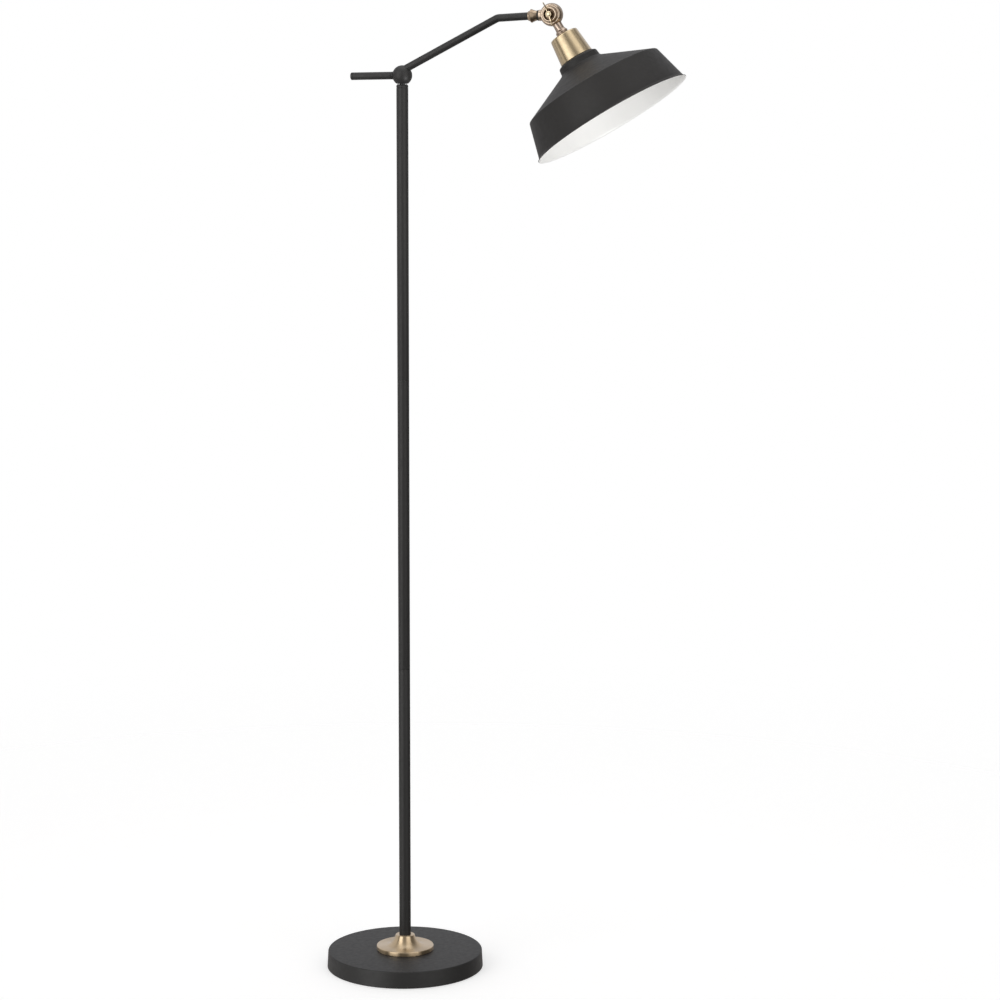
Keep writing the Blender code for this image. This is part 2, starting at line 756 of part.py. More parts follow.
def make_head_half():
    """The knuckle half on the head, with the bolt head's seat and a flanged stem."""
    face = [
        (BOLT_R + GAP, 0.0105),
        (0.0062, 0.0105),
        (0.0062, 0.0140),
        (0.0110, 0.0140),
    ]
    stem = [
        (0.0, -0.0145),
        (HEAD_STEM_R + 0.0005, -0.0145),
        (HEAD_STEM_R, -0.0190),
        (HEAD_STEM_R, -0.0240),
        (HEAD_STEM_R + 0.0005, -0.0278),
        (STEM_FLANGE_R - 0.0009, -0.0302),
        (STEM_FLANGE_R - 0.0004, -0.0310),
        (STEM_FLANGE_R - 0.0004, -0.0322),
        (STEM_GROOVE_R, -0.0326),
        (STEM_GROOVE_R, -0.0332),
        (STEM_FLANGE_R, -0.0336),
        (STEM_FLANGE_R, -STEM_END_S),
        (STEM_SPIGOT_R, -STEM_END_S),
        (STEM_SPIGOT_R, -0.0480),
        (0.0, -0.0480),
    ]
    make_knuckle_half("knuckle_head_half", face, BOLT_FACE_R, stem, head_frame, 1)


def make_pivot_parts():
    """The friction washer, the slotted pivot bolt and the washer under the wing nut."""
    half = KNUCKLE_SPLIT - GAP
    ring("knuckle_friction_washer", *FRICTION_RING_R, -half, half, nylon, arm_pivot_frame, STEPS_BALL)
    seat, head_end = BOLT_HEAD_Y
    outline = [
        (0.0, BOLT_END),
        (BOLT_R - 0.0008, BOLT_END),
        (BOLT_R, BOLT_END - 0.0008),
        (BOLT_R, -seat),
        (BOLT_HEAD_R, -seat),
        (BOLT_HEAD_R, -head_end + 0.0008),
        (BOLT_HEAD_R - 0.0008, -head_end),
        (0.0, -head_end),
    ]
    bolt = turned("pivot_bolt", outline, brass_antique, pivot_frame)
    slot = box("bolt_slot", (-0.0070, -0.0006, -0.0160), (0.0070, 0.0006, -0.0135), pivot_frame)
    boolean(bolt, slot, "DIFFERENCE")
    low = RECESS_FLOOR + GAP
    ring("wing_washer", BOLT_R + GAP, WING_WASHER_R, low, low + 0.0010, brass_antique, arm_pivot_frame)


def wing_blade(name, turn):
    """One flat blade of the wing nut, rising outwards over the ring."""
    curve = bpy.data.curves.new(name, "CURVE")
    curve.dimensions = "2D"
    curve.fill_mode = "BOTH"
    curve.extrude = WING_THICK / 2.0
    base = RING_TOP + GAP * 2.0
    outline = [
        (0.0036, base - 0.0030),
        (0.0080, base),
        (0.0130, base + 0.0008),
        (0.0172, base + 0.0036),
        (0.0196, base + 0.0068),
        (WING_SPAN, base + 0.0088),
        (0.0190, base + 0.0102),
        (0.0174, base + 0.0100),
        (0.0140, base + 0.0070),
        (0.0100, base + 0.0048),
        (0.0036, base + 0.0040),
    ]
    spline = curve.splines.new("POLY")
    spline.points.add(len(outline) - 1)
    for slot, (x, y) in zip(spline.points, outline):
        slot.co = (x, y, 0.0, 1.0)
    spline.use_cyclic_u = True
    blade = add_object(name, curve, None, wing_frame)
    blade.matrix_basis = Matrix.Rotation(turn, 4, "Z") @ Matrix.Rotation(math.radians(90.0), 4, "X")
    return curve_to_mesh(blade)


def make_wing_nut():
    """The wing nut that clamps the knuckle: a conical hub with two blades."""
    low = RECESS_FLOOR + 0.0010 + 2.0 * GAP
    outline = [
        (BOLT_R + GAP, BOLT_END - 0.0012),
        (0.0042, BOLT_END - 0.0012),
        (0.0048, BOLT_END - 0.0020),
        (WING_HUB_R, low + 0.0010),
        (WING_HUB_R, low),
        (BOLT_R + GAP, low),
    ]
    nut = turned("wing_nut", outline, brass_antique, wing_frame)
    for i in range(2):
        boolean(nut, wing_blade(f"wing_blade_{i}", math.pi * i), "UNION")
    bore = cylinder("wing_bore", BOLT_R + GAP, (0, 0, 0.0050), (0, 0, 0.0300), wing_frame)
    boolean(nut, bore, "DIFFERENCE")


# ---------------------------------------------------------------- head


def make_socket_cup():
    """The spun brass cup over the lampholder, with the washer above it and the nut inside it."""
    top, end = STEM_WASHER_S
    ring("stem_washer", NIPPLE_R + GAP, STEM_WASHER_R, -end, -top, black_rubber, head_frame)
    outline = head_outline([
        (NIPPLE_R + 0.0004, CUP_TOP_S),
        (0.0205, CUP_TOP_S + 0.0005),
        (0.0226, CUP_TOP_S + 0.0014),
        (CUP_TOP_R, CUP_TOP_S + 0.0032),
        (CUP_END_R, CUP_END_S),
    ])
    spun_shell("socket_cup", outline, CUP_WALL, brass_satin, head_frame, steps=28)
    nut_top = -(CUP_TOP_S + CUP_WALL + GAP)
    hex_nut("cup_nut", CUP_NUT_FLATS, NIPPLE_R + GAP, nut_top - NUT_H, nut_top, zinc_steel, head_frame)


def make_lampholder():
    """The lampholder with its threaded shell and centre contact, open towards the shade's mouth."""
    body = head_outline([
        (0.0, HOLDER_TOP_S + 0.0070),
        (0.0120, HOLDER_TOP_S + 0.0070),
        (0.0120, HOLDER_TOP_S),
        (0.0170, HOLDER_TOP_S),
        (HOLDER_R, HOLDER_TOP_S + 0.0030),
        (HOLDER_R, HOLDER_END_S),
        (SOCKET_R, HOLDER_END_S),
        (SOCKET_R, SOCKET_FLOOR_S),
        (0.0, SOCKET_FLOOR_S),
    ])
    turned("lampholder_body", body, lampholder_white, head_frame)
    shell_end = -(HOLDER_END_S - 0.0030)
    ring("lampholder_shell", SHELL_BORE_R, SHELL_R, shell_end, -SHELL_TOP_S, nickel, head_frame)
    contact = head_outline([
        (0.0, SOCKET_FLOOR_S + GAP),
        (CONTACT_R, SOCKET_FLOOR_S + GAP),
        (CONTACT_R, SOCKET_FLOOR_S + 0.0020),
        (CONTACT_R - 0.0015, SOCKET_FLOOR_S + 0.0030),
        (0.0, SOCKET_FLOOR_S + 0.0030),
    ])
    turned("lampholder_contact", contact, nickel, head_frame, steps=STEPS_BORE)


def shade_ring_outline():
    """The threaded ring that clamps the shade to the lampholder."""
    top = SHADE_PLATE_S + SHADE_WALL + GAP
    return head_outline([
        (HOLDER_R + GAP, top),
        (SHADE_RING_R, top),
        (SHADE_RING_R, top + 0.0050),
        (SHADE_RING_R - 0.0012, top + 0.0062),
        (HOLDER_R + GAP, top + 0.0062),
    ])


def shade_outline():
    """The shade's outer face: neck, cone, shoulder, skirt and a flared lip."""
    plate_r, neck_r = 0.0206, SHADE_NECK_TOP[0]
    cone_start = (0.0372, 0.0940)
    cone_end = (SHADE_SHOULDER[0] - 0.0030, SHADE_SHOULDER[1] - 0.0014)
    cone = []
    for i in range(1, 3):
        t = i / 3.0
        radius = cone_start[0] + (cone_end[0] - cone_start[0]) * t
        distance = cone_start[1] + (cone_end[1] - cone_start[1]) * t
        cone.append((radius, distance + CONE_DISH * math.sin(math.pi * t)))
    return head_outline([
        (plate_r, SHADE_PLATE_S),
        (CUP_END_R + 0.0002, SHADE_PLATE_S),
        (neck_r - 0.0010, SHADE_NECK_TOP[1] - 0.0006),
        (neck_r, SHADE_NECK_TOP[1] + 0.0010),
        (SHADE_NECK_END[0], SHADE_NECK_END[1] - 0.0010),
        cone_start,
        *cone,
        cone_end,
        SHADE_SHOULDER,
        (SHADE_SHOULDER[0] + 0.0010, SHADE_SHOULDER[1] + 0.0032),
        SHADE_SKIRT_END,
        (SHADE_SKIRT_END[0] + 0.0010, SHADE_SKIRT_END[1] + 0.0034),
        (SHADE_RIM[0] - 0.0017, SHADE_RIM[1] - 0.0019),
        (SHADE_RIM[0], SHADE_RIM[1] - 0.0008),
    ])


def make_shade():
    """The spun shade and the ring that holds it."""
    spun_shell("shade", shade_outline(), SHADE_WALL, black_paint, head_frame)
    turned("shade_ring", shade_ring_outline(), lampholder_white, head_frame)


# ---------------------------------------------------------------- leads


def make_pole_lead():
    """The lead from the cord entry, through the base and the pole, to the ball."""
    level = 0.0055
    turn_r = 0.0095
    points = [
        (0, BASE_FOOT_R - 0.0015, CORD_ENTRY_Z),
        (0, 0.1238, CORD_ENTRY_Z - 0.0002),
        (0, 0.1205, CORD_ENTRY_Z - 0.0014),
        (0, 0.1165, level + 0.0004),
        (0, 0.1100, level),
    ]
    for i in range(7):
        angle = math.radians(90.0 * i / 6.0)
        points.append((0, turn_r * (1.0 - math.sin(angle)), level + turn_r * (1.0 - math.cos(angle))))
    points.append((0, 0, BALL_Z - 0.0020))
    lead("pole_lead", points, lead_sheath)


def make_arm_lead():
    """The lead from the ball, along the arm, into the knuckle's arm half."""
    ball = Vector((0.0, 0.0, BALL_Z))
    rise = [(0, 0.0008), (0, 0.0040), (0.0009, 0.0066), (0.0029, 0.0086)]
    points = [ball + Vector((x, 0.0, z)) for x, z in rise]
    points += arm_path(0.0100, 0.0260, 5)
    points += [arm_end_frame.matrix_world @ Vector(point) for point in lead_into_knuckle(-1)]
    lead("arm_lead", local_points(points, swivel_axis), lead_sheath, swivel_axis)


def lead_into_knuckle(side):
    """The lead's way from a stem's bore into that half's chamber, in the stem's frame."""
    return [
        (0, 0.0008 * side, -0.0220),
        (0, 0.0027 * side, -0.0186),
        (0, 0.0031 * side, -0.0175),
        (0, 0.0044 * side, -0.0105),
    ]


def make_head_lead():
    """The lead from the knuckle's head half to the back of the lampholder."""
    points = [(0, 0, -(HOLDER_TOP_S + 0.0040)), (0, 0, -0.0260), *lead_into_knuckle(1)]
    lead("head_lead", points, lead_sheath, head_frame)


# ---------------------------------------------------------------- build


def turn_y(place, angle):
    """A frame at a place, turned about Y."""
    return Matrix.Translation(place) @ Matrix.Rotation(angle, 4, "Y")


def axis_y_out(place, spin=0.0):
    """A frame at a place with its Z axis along -Y, spun about that axis."""
    level = Matrix.Rotation(math.radians(90.0), 4, "X")
    return Matrix.Translation(place) @ level @ Matrix.Rotation(spin, 4, "Z")


clear_scene()
parts = new_collection("adjustable_arm_floor_lamp")
cutters = new_collection("cutters")

black_paint = metal("black_powder_coat", (0.020, 0.020, 0.021), 0.55, 0.0)
brass_polished = metal("brass_polished", (0.62, 0.47, 0.28), 0.28, 1.0)
brass_satin = metal("brass_satin", (0.66, 0.50, 0.27), 0.35, 1.0)
brass_antique = metal("brass_antique", (0.40, 0.31, 0.22), 0.38, 1.0)
cast_iron = metal("cast_iron", (0.10, 0.10, 0.10), 0.75, 0.6)
zinc_steel = metal("zinc_plated_steel", (0.55, 0.56, 0.58), 0.40, 1.0)
nickel = metal("nickel_plate", (0.66, 0.63, 0.58), 0.30, 1.0)
felt = metal("felt", (0.030, 0.030, 0.032), 0.95, 0.0)
rubber = metal("grommet_rubber", (0.020, 0.020, 0.020), 0.70, 0.0)
black_rubber = metal("black_washer", (0.012, 0.012, 0.012), 0.60, 0.0)
nylon = metal("black_nylon", (0.015, 0.015, 0.015), 0.50, 0.0)
lampholder_white = metal("white_thermoplastic", (0.80, 0.79, 0.76), 0.40, 0.0)
lead_sheath = metal("lead_sheath", (0.025, 0.025, 0.025), 0.55, 0.0)

swivel_axis = empty("swivel_axis", Matrix.Translation((0.0, 0.0, BALL_Z)))
handle_frame = empty("handle_frame", turn_y((0, 0, BALL_Z), math.pi / 2.0 - HANDLE_DROOP), swivel_axis)
end_axis = arm_end_axis()
end_turn = math.pi / 2.0 - math.atan2(end_axis.z, end_axis.x)
arm_end_frame = empty("arm_end_frame", turn_y(PIVOT, end_turn), swivel_axis)
arm_pivot_frame = empty("arm_pivot_frame", axis_y_out(PIVOT), swivel_axis)
tilt_axis = empty("tilt_axis", Matrix.Translation(PIVOT), swivel_axis)
head_frame = empty("head_frame", turn_y(PIVOT, -HEAD_TILT), tilt_axis)
pivot_frame = empty("pivot_frame", axis_y_out(PIVOT), tilt_axis)
wing_frame = empty("wing_nut_axis", axis_y_out(PIVOT, math.pi / 2.0 + WING_ANGLE), tilt_axis)

make_base_pad()
make_base_weight()
make_base_cover()
make_cord_grommet()
make_base_fastening()
make_base_flange()
make_pole()
make_pole_foot_plug()
make_pole_cap()
make_swivel()
make_ball()
make_handle()
make_arm_tube()
make_arm_collar()
make_arm_half()
make_head_half()
make_pivot_parts()
make_wing_nut()
make_socket_cup()
make_lampholder()
make_shade()
make_pole_lead()
make_arm_lead()
make_head_lead()
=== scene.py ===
# Adjustable arm floor lamp: its looks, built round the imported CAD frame, in metres. The pieces that
# show are made again here with round sections and softened edges; the hidden ones keep their solids.

import math

import bmesh
import bpy
from mathutils import Matrix, Vector


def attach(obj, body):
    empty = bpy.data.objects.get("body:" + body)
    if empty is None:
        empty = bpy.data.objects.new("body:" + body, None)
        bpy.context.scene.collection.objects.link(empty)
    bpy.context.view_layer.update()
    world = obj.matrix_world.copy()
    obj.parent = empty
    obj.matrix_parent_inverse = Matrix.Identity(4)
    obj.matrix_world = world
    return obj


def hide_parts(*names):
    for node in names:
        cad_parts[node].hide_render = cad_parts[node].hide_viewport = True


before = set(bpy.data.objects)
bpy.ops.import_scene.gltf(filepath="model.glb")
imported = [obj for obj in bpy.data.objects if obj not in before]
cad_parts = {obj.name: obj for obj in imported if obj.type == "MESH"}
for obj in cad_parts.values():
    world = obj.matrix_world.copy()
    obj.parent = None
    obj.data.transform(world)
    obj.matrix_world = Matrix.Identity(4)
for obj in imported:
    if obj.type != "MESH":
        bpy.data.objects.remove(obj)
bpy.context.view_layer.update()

# Clearances and shared sizes, as in the CAD
GAP = 0.0003
WALL = 0.0012
NIPPLE_R = 0.0050

# Base and flange
BASE_H = 0.028
BASE_TOP_R = 0.1275
BASE_FOOT_R = 0.1290
COVER_CLEAR_Z = 0.0008
PAD_H = 0.0020
PAD_R = 0.1225
CORD_ENTRY_Z = 0.0085
CORD_ENTRY_R = 0.0050
GROMMET_HEAD_R = 0.0065
GROMMET_NECK_R = 0.0046
GROMMET_LIP_R = 0.0062
GROMMET_BORE_R = 0.0028
FLANGE_R = 0.0472
FLANGE_H = 0.0070
FLANGE_TOP_Z = 0.0532
FLANGE_NECK_R = 0.0158
FLANGE_LIP_R = 0.0012
FLANGE_FOOT_R = 0.0320
FLANGE_EDGE_R = 0.0012

# Pole and ball joint
POLE_SEAT_Z = 0.0340
POLE_R = 0.0095
POLE_BORE_R = 0.0083
POLE_PLUG_R = 0.0080
POLE_JOINTS_Z = (0.5020, 0.9760)
POLE_END_Z = 1.4433
POLE_CAP_TOP_Z = 1.4486
POLE_CAP_SPIGOT_L = 0.0180
BALL_Z = 1.4630
BALL_R = 0.0159
BALL_FLAT_DEPTH = 0.0130
BALL_CAVITY_R = 0.0085
BALL_FLOOR_DEPTH = 0.0095
SWIVEL_NIPPLE_R = 0.0040
SWIVEL_WASHER_R = 0.0078
LEAD_HOLE_R = 0.0035

# Handle and arm
TUBE_R = 0.0060
TUBE_WALL = 0.0010
HANDLE_L = 0.0860
HANDLE_STUD_R = 0.0057
HANDLE_DROOP = math.radians(0.9)
ARM_BEND = Vector((0.1582, 0.0, 1.5518))
ARM_OFFSET = 0.00665
ARM_BEND_R = 0.0140
ARM_START = 0.0075
PIVOT = Vector((0.2463, 0.0, 1.5565))
ARM_TUBE_END = 0.0305
COLLAR_NEAR = 0.0228
COLLAR_FAR = 0.0375
COLLAR_R = 0.0074
COLLAR_BEAD_R = 0.0107
COLLAR_WASHER_R = 0.0082
COLLAR_WASHER_END = 0.0206

# Knuckle joint
KNUCKLE_R = 0.0180
BOSS_LEDGE_R = 0.0152
BOLT_FACE_R = 0.0120
KNUCKLE_SPLIT = 0.0007
KNUCKLE_SWEEP_R = 0.0184
KNUCKLE_CHAMBER_R = 0.0130
KNUCKLE_CHAMBER_DEPTH = 0.0070
RECESS_R = 0.0088
RECESS_FLOOR = 0.0100
RING_R = 0.0112
RING_TOP = 0.0152
BOSS_FOOT_R = 0.0124
LEAD_WAY_R = 0.0030
BOLT_R = 0.0030
BOLT_END = 0.0210
BOLT_HEAD_R = 0.0058
BOLT_HEAD_Y = (0.0108, 0.0148)
STEM_SPIGOT_R = 0.0049
ARM_STEM_R = 0.0086
HEAD_STEM_R = 0.0072
STEM_FLANGE_R = 0.0103
STEM_GROOVE_R = 0.0088
STEM_END_S = 0.0346
FRICTION_RING_R = (0.0134, 0.0172)
WING_WASHER_R = 0.0078
WING_WASHER_H = 0.0010
WING_HUB_R = 0.0056
WING_SPAN = 0.0200
WING_THICK = 0.0024
WING_ANGLE = math.radians(22.0)

# Head: distances are measured from the pivot, along the head's own axis
HEAD_TILT = math.radians(31.4)
CUP_TOP_S = 0.0362
CUP_END_S = 0.0785
CUP_TOP_R = 0.0232
CUP_END_R = 0.0273
CUP_WALL = 0.0015
STEM_WASHER_R = 0.0100
STEM_WASHER_S = (0.0349, 0.0359)
SHADE_WALL = 0.0010
SHADE_PLATE_S = 0.0790
SHADE_NECK_TOP = (0.0331, 0.0818)
SHADE_NECK_END = (0.0342, 0.0924)
SHADE_SHOULDER = (0.1148, 0.1309)
SHADE_SKIRT_END = (0.1285, 0.1824)
SHADE_RIM = (0.1325, 0.1897)
SHADE_RING_R = 0.0262
HOLDER_R = 0.0202
HOLDER_TOP_S = 0.0470
HOLDER_END_S = 0.1040
SOCKET_R = 0.0143
SOCKET_FLOOR_S = 0.0570
SHELL_TOP_S = 0.0615
THREAD_R = 0.01385
THREAD_PITCH = 0.00363
THREAD_DEPTH = 0.00018
THREAD_WALL = 0.0003
CONTACT_R = 0.0040

# Camera
CAMERA_TURN = math.radians(16.80)
CAMERA_DISTANCE = 4.500
CAMERA_ASIDE = 0.1564
CAMERA_HEIGHT = 1.430
CAMERA_PITCH = math.radians(8.20)
CAMERA_ROLL = math.radians(0.09)
FOCAL_PER_WIDTH = 2.800
SENSOR_MM = 36.0

# The studio that the metals reflect. A panel's turns, in degrees from the camera's side, are where it
# starts, is full, eases and ends; its heights are where it starts and is full.
SET_BACK = (0.66, 0.66, 0.68)
SET_SIDES = (0.14, 0.135, 0.13)
SET_LEFT = (0.66, 0.65, 0.64)
SET_FRONT = (0.30, 0.295, 0.29)
SET_FRONT_LOW = (0.03, 0.027, 0.024)
SET_BELOW_BACK = (0.45, 0.43, 0.42)
SET_ABOVE = (0.38, 0.38, 0.38)
PANEL_LEFT = (2.35, 2.33, 2.30)
PANEL_RIGHT = (1.35, 1.33, 1.30)
PANEL_LEFT_TURN = (-72.0, -58.0, -38.0, -18.0)
PANEL_RIGHT_TURN = (8.0, 26.0, 54.0, 74.0)
PANEL_LEFT_HEIGHTS = (-0.74, -0.22)
PANEL_RIGHT_HEIGHTS = (-0.58, -0.02)
PANEL_TOPS = (0.70, 0.95)

# Where each tone of the studio starts and is full: a direction's height, or its turn in radians
FRONT_LOW_HEIGHTS = (0.05, -0.28)
SIDES_TURN = (0.2, 0.5)
LEFT_TURN = (math.radians(-78.0), math.radians(-88.0))
BELOW_BACK_HEIGHTS = (0.12, -0.22)
BACK_TURN = (1.75, 2.5)
ABOVE_HEIGHTS = (0.60, 0.95)

# Lights and floor. The fill light's aim is a distance from the pivot, along the head's own axis; the
# floor fades out between the two radii.
OVERHEAD_PLACE = (0.1, 0.2, 3.4)
OVERHEAD_AIM = (0.1, 0.0, 0.6)
FILL_AIM_S = 0.15
FILL_OFFSET = Vector((0.90, -0.50, -0.72))
FLOOR_R = 3.0
FLOOR_FADE = (2.6, 0.5)

# Finishes
RINGS_PER_M = 2600.0
LACQUER_ROUGHNESS = 0.18

# Limits for outlines and meshes: a smaller radius is on the axis, a wider corner is left as it is, a
# fillet takes at most this share of a side, and nearer points are one
ON_AXIS = 1e-6
ALMOST_STRAIGHT = math.radians(172.0)
FILLET_SHARE = 0.45
MERGE_DISTANCE = 0.00002


# ------------ frames


def turn_y(place, angle):
    """A frame at a place, turned about Y."""
    return Matrix.Translation(place) @ Matrix.Rotation(angle, 4, "Y")


def axis_y_out(place, spin=0.0):
    """A frame at a place with its Z axis along -Y, spun about that axis."""
    level = Matrix.Rotation(math.radians(90.0), 4, "X")
    return Matrix.Translation(place) @ level @ Matrix.Rotation(spin, 4, "Z")


def arm_axis():
    """(foot, direction) of the arm's sloping axis; foot is its nearest point to the ball's centre."""
    ball = Vector((0.0, 0.0, BALL_Z))
    to_bend = ARM_BEND - ball
    slope = math.atan2(to_bend.z, to_bend.x) - math.asin(ARM_OFFSET / to_bend.length)
    direction = Vector((math.cos(slope), 0.0, math.sin(slope)))
    return ball + ARM_OFFSET * Vector((-direction.z, 0.0, direction.x)), direction


# END_AXIS runs from the arm's bend to the pivot, and HEAD_DOWN from the pivot along the head
END_AXIS = (PIVOT - ARM_BEND).normalized()
WORLD = Matrix.Identity(4)
SWIVEL = Matrix.Translation((0.0, 0.0, BALL_Z))
HANDLE = turn_y((0.0, 0.0, BALL_Z), math.pi / 2.0 - HANDLE_DROOP)
ARM_END = turn_y(PIVOT, math.pi / 2.0 - math.atan2(END_AXIS.z, END_AXIS.x))
PIVOT_OUT = axis_y_out(PIVOT)
HEAD = turn_y(PIVOT, -HEAD_TILT)
HEAD_DOWN = Vector((math.sin(HEAD_TILT), 0.0, -math.cos(HEAD_TILT)))
WING = axis_y_out(PIVOT, math.pi / 2.0 + WING_ANGLE)


# ------------ outlines


def arc(center, radius, start, end, count):
    """Points along an arc in the (radius, height) plane, angles in degrees."""
    points = []
    for i in range(count + 1):
        angle = math.radians(start + (end - start) * i / count)
        points.append((center[0] + radius * math.cos(angle), center[1] + radius * math.sin(angle)))
    return points


def flare(start, first_pull, second_pull, end, count):
    """Points along a smooth flare, after its start: the pulls are its two control points."""
    points = []
    for i in range(1, count + 1):
        t = i / count
        shares = ((1.0 - t) ** 3, 3.0 * t * (1.0 - t) ** 2, 3.0 * t * t * (1.0 - t), t ** 3)
        corners = (start, first_pull, second_pull, end)
        radius = sum(share * corner[0] for share, corner in zip(shares, corners))
        height = sum(share * corner[1] for share, corner in zip(shares, corners))
        points.append((radius, height))
    return points


def head_outline(points):
    """Outline points given as (radius, distance from the pivot) in the head's downward frame."""
    return [(radius, -distance) for radius, distance in points]


def filleted(outline, radius, closed=True, count=4):
    """The outline with each corner rounded; radius is one number or one for each corner."""
    points = [Vector(p) for p in outline]
    total = len(points)
    radii = radius if isinstance(radius, (list, tuple)) else [radius] * total
    rounded = []
    for i, here in enumerate(points):
        on_axis = here.x < ON_AXIS
        at_end = not closed and i in (0, total - 1)
        if on_axis or at_end or radii[i] <= 0.0:
            rounded.append(tuple(here))
            continue
        to_last = points[i - 1] - here
        to_next = points[(i + 1) % total] - here
        corner = to_last.angle(to_next)
        if corner > ALMOST_STRAIGHT:
            rounded.append(tuple(here))
            continue
        room = FILLET_SHARE * min(to_last.length, to_next.length)
        reach = min(radii[i] / math.tan(corner / 2.0), room)
        first = here + to_last.normalized() * reach
        last = here + to_next.normalized() * reach
        for k in range(count + 1):
            t = k / count
            rounded.append(tuple((1 - t) ** 2 * first + 2 * t * (1 - t) * here + t * t * last))
    return rounded


def thickened(outline, thickness):
    """A sheet's closed outline: the outer face's points, then the inner face's points back again."""
    points = [Vector(p) for p in outline]
    inner = []
    for i, here in enumerate(points):
        before = (here - points[i - 1]).normalized() if i else None
        after = (points[i + 1] - here).normalized() if i + 1 < len(points) else None
        along = ((before or after) + (after or before)).normalized()
        half = along.dot(after or before)
        inward = Vector((along.y, -along.x))
        inner.append(tuple(here + inward * thickness / max(half, 0.5)))
    return list(outline) + inner[::-1]


# ------------ meshes


def add_object(name, data, matrix=WORLD):
    """Link a mesh, light or camera as an object, in the frame that the matrix gives."""
    obj = bpy.data.objects.new(name, data)
    bpy.context.scene.collection.objects.link(obj)
    obj.matrix_world = matrix
    return obj


def add_shape(name, shape, matrix=WORLD):
    """Make an object of a bmesh, and free the bmesh."""
    mesh = bpy.data.meshes.new(name)
    shape.to_mesh(mesh)
    shape.free()
    set_edges(mesh)
    return add_object(name, mesh, matrix)


def set_edges(mesh, sharp_degrees=32.0):
    """Smooth faces that stay crisp over edges sharper than the angle."""
    shape = bmesh.new()
    shape.from_mesh(mesh)
    bmesh.ops.recalc_face_normals(shape, faces=shape.faces)
    limit = math.radians(sharp_degrees)
    for face in shape.faces:
        face.smooth = True
    for edge in shape.edges:
        edge.smooth = len(edge.link_faces) == 2 and edge.calc_face_angle(0.0) < limit
    shape.to_mesh(mesh)
    shape.free()


def lathe(name, outline, matrix=WORLD, steps=64, ripple=None, inner_from=None):
    """A turned piece: the outline's (radius, height) points run down its outer side.

    ripple(angle, radius, height) gives a new radius where a piece isn't round. Faces from the
    outline's point inner_from on get the second material.
    """
    shape = bmesh.new()
    rings = []
    for radius, height in outline:
        if radius < ON_AXIS:
            rings.append([shape.verts.new((0.0, 0.0, height))] * steps)
            continue
        row = []
        for k in range(steps):
            angle = 2.0 * math.pi * k / steps
            r = ripple(angle, radius, height) if ripple else radius
            row.append(shape.verts.new((r * math.cos(angle), r * math.sin(angle), height)))
        rings.append(row)
    pairs = list(zip(rings, rings[1:]))
    if max(outline[0][0], outline[-1][0]) > ON_AXIS:
        pairs.append((rings[-1], rings[0]))
    for index, (upper, lower) in enumerate(pairs):
        for k in range(steps):
            n = (k + 1) % steps
            corners = []
            for vert in (upper[k], lower[k], lower[n], upper[n]):
                if vert not in corners:
                    corners.append(vert)
            if len(corners) > 2:
                face = shape.faces.new(corners)
                if inner_from is not None and index >= inner_from:
                    face.material_index = 1
    return add_shape(name, shape, matrix)


def washer(name, inner_r, outer_r, bottom, top, matrix=WORLD, steps=64, edge=0.0002):
    """A plain washer, tube or bush about its frame's Z axis, with eased edges."""
    outline = [(outer_r, top), (outer_r, bottom), (inner_r, bottom), (inner_r, top)]
    return lathe(name, filleted(outline, edge, count=3), matrix, steps)


def swept_tube(name, path, outer_r, inner_r, matrix=WORLD, sides=48):
    """A tube along a path in the XZ plane, open at both ends."""
    shape = bmesh.new()
    rings = []
    last = len(path) - 1
    for i, point in enumerate(path):
        along = (path[min(i + 1, last)] - path[max(i - 1, 0)]).normalized()
        up = Vector((-along.z, 0.0, along.x))
        side = Vector((0.0, 1.0, 0.0))
        both = []
        for radius in (outer_r, inner_r):
            row = []
            for k in range(sides):
                angle = 2.0 * math.pi * k / sides
                place = point + radius * (math.cos(angle) * up + math.sin(angle) * side)
                row.append(shape.verts.new(place))
            both.append(row)
        rings.append(both)
    for k in range(sides):
        n = (k + 1) % sides
        for (outer_a, inner_a), (outer_b, inner_b) in zip(rings, rings[1:]):
            shape.faces.new((outer_a[k], outer_a[n], outer_b[n], outer_b[k]))
            shape.faces.new((inner_a[k], inner_b[k], inner_b[n], inner_a[n]))
        for outer, inner in (rings[0], rings[-1]):
            shape.faces.new((outer[k], inner[k], inner[n], outer[n]))
    return add_shape(name, shape, matrix)


def rod(radius, start, end, matrix=WORLD, steps=48):
    """A cutting cylinder between two points of a frame."""
    span = Vector(end) - Vector(start)
    shape = bmesh.new()
    bmesh.ops.create_cone(
        shape, cap_ends=True, segments=steps, radius1=radius, radius2=radius, depth=span.length
    )
    turn = span.to_track_quat("Z", "Y").to_matrix().to_4x4()
    middle = Matrix.Translation((Vector(start) + Vector(end)) / 2.0)
    bmesh.ops.transform(shape, matrix=middle @ turn, verts=shape.verts)
    return add_shape("rod", shape, matrix)


def block(low, high, matrix=WORLD):
    """A cutting box between two corners of a frame."""
    shape = bmesh.new()
    bmesh.ops.create_cube(shape, size=1.0)
    size = Vector(high) - Vector(low)
    middle = (Vector(high) + Vector(low)) / 2.0
    fit = Matrix.Translation(middle) @ Matrix.Diagonal((*size, 1.0))
    bmesh.ops.transform(shape, matrix=fit, verts=shape.verts)
    return add_shape("block", shape, matrix)


def combine(obj, tool, operation="DIFFERENCE"):
    """Cut or join the tool into the object's mesh, and drop the tool."""
    modifier = obj.modifiers.new("Combine", "BOOLEAN")
    modifier.operation = operation
    modifier.solver = "EXACT"
    modifier.object = tool
    bpy.context.view_layer.update()
    graph = bpy.context.evaluated_depsgraph_get()
    mesh = bpy.data.meshes.new_from_object(obj.evaluated_get(graph))
    obj.modifiers.clear()
    obj.data = mesh
    bpy.data.objects.remove(tool)
    set_edges(mesh)


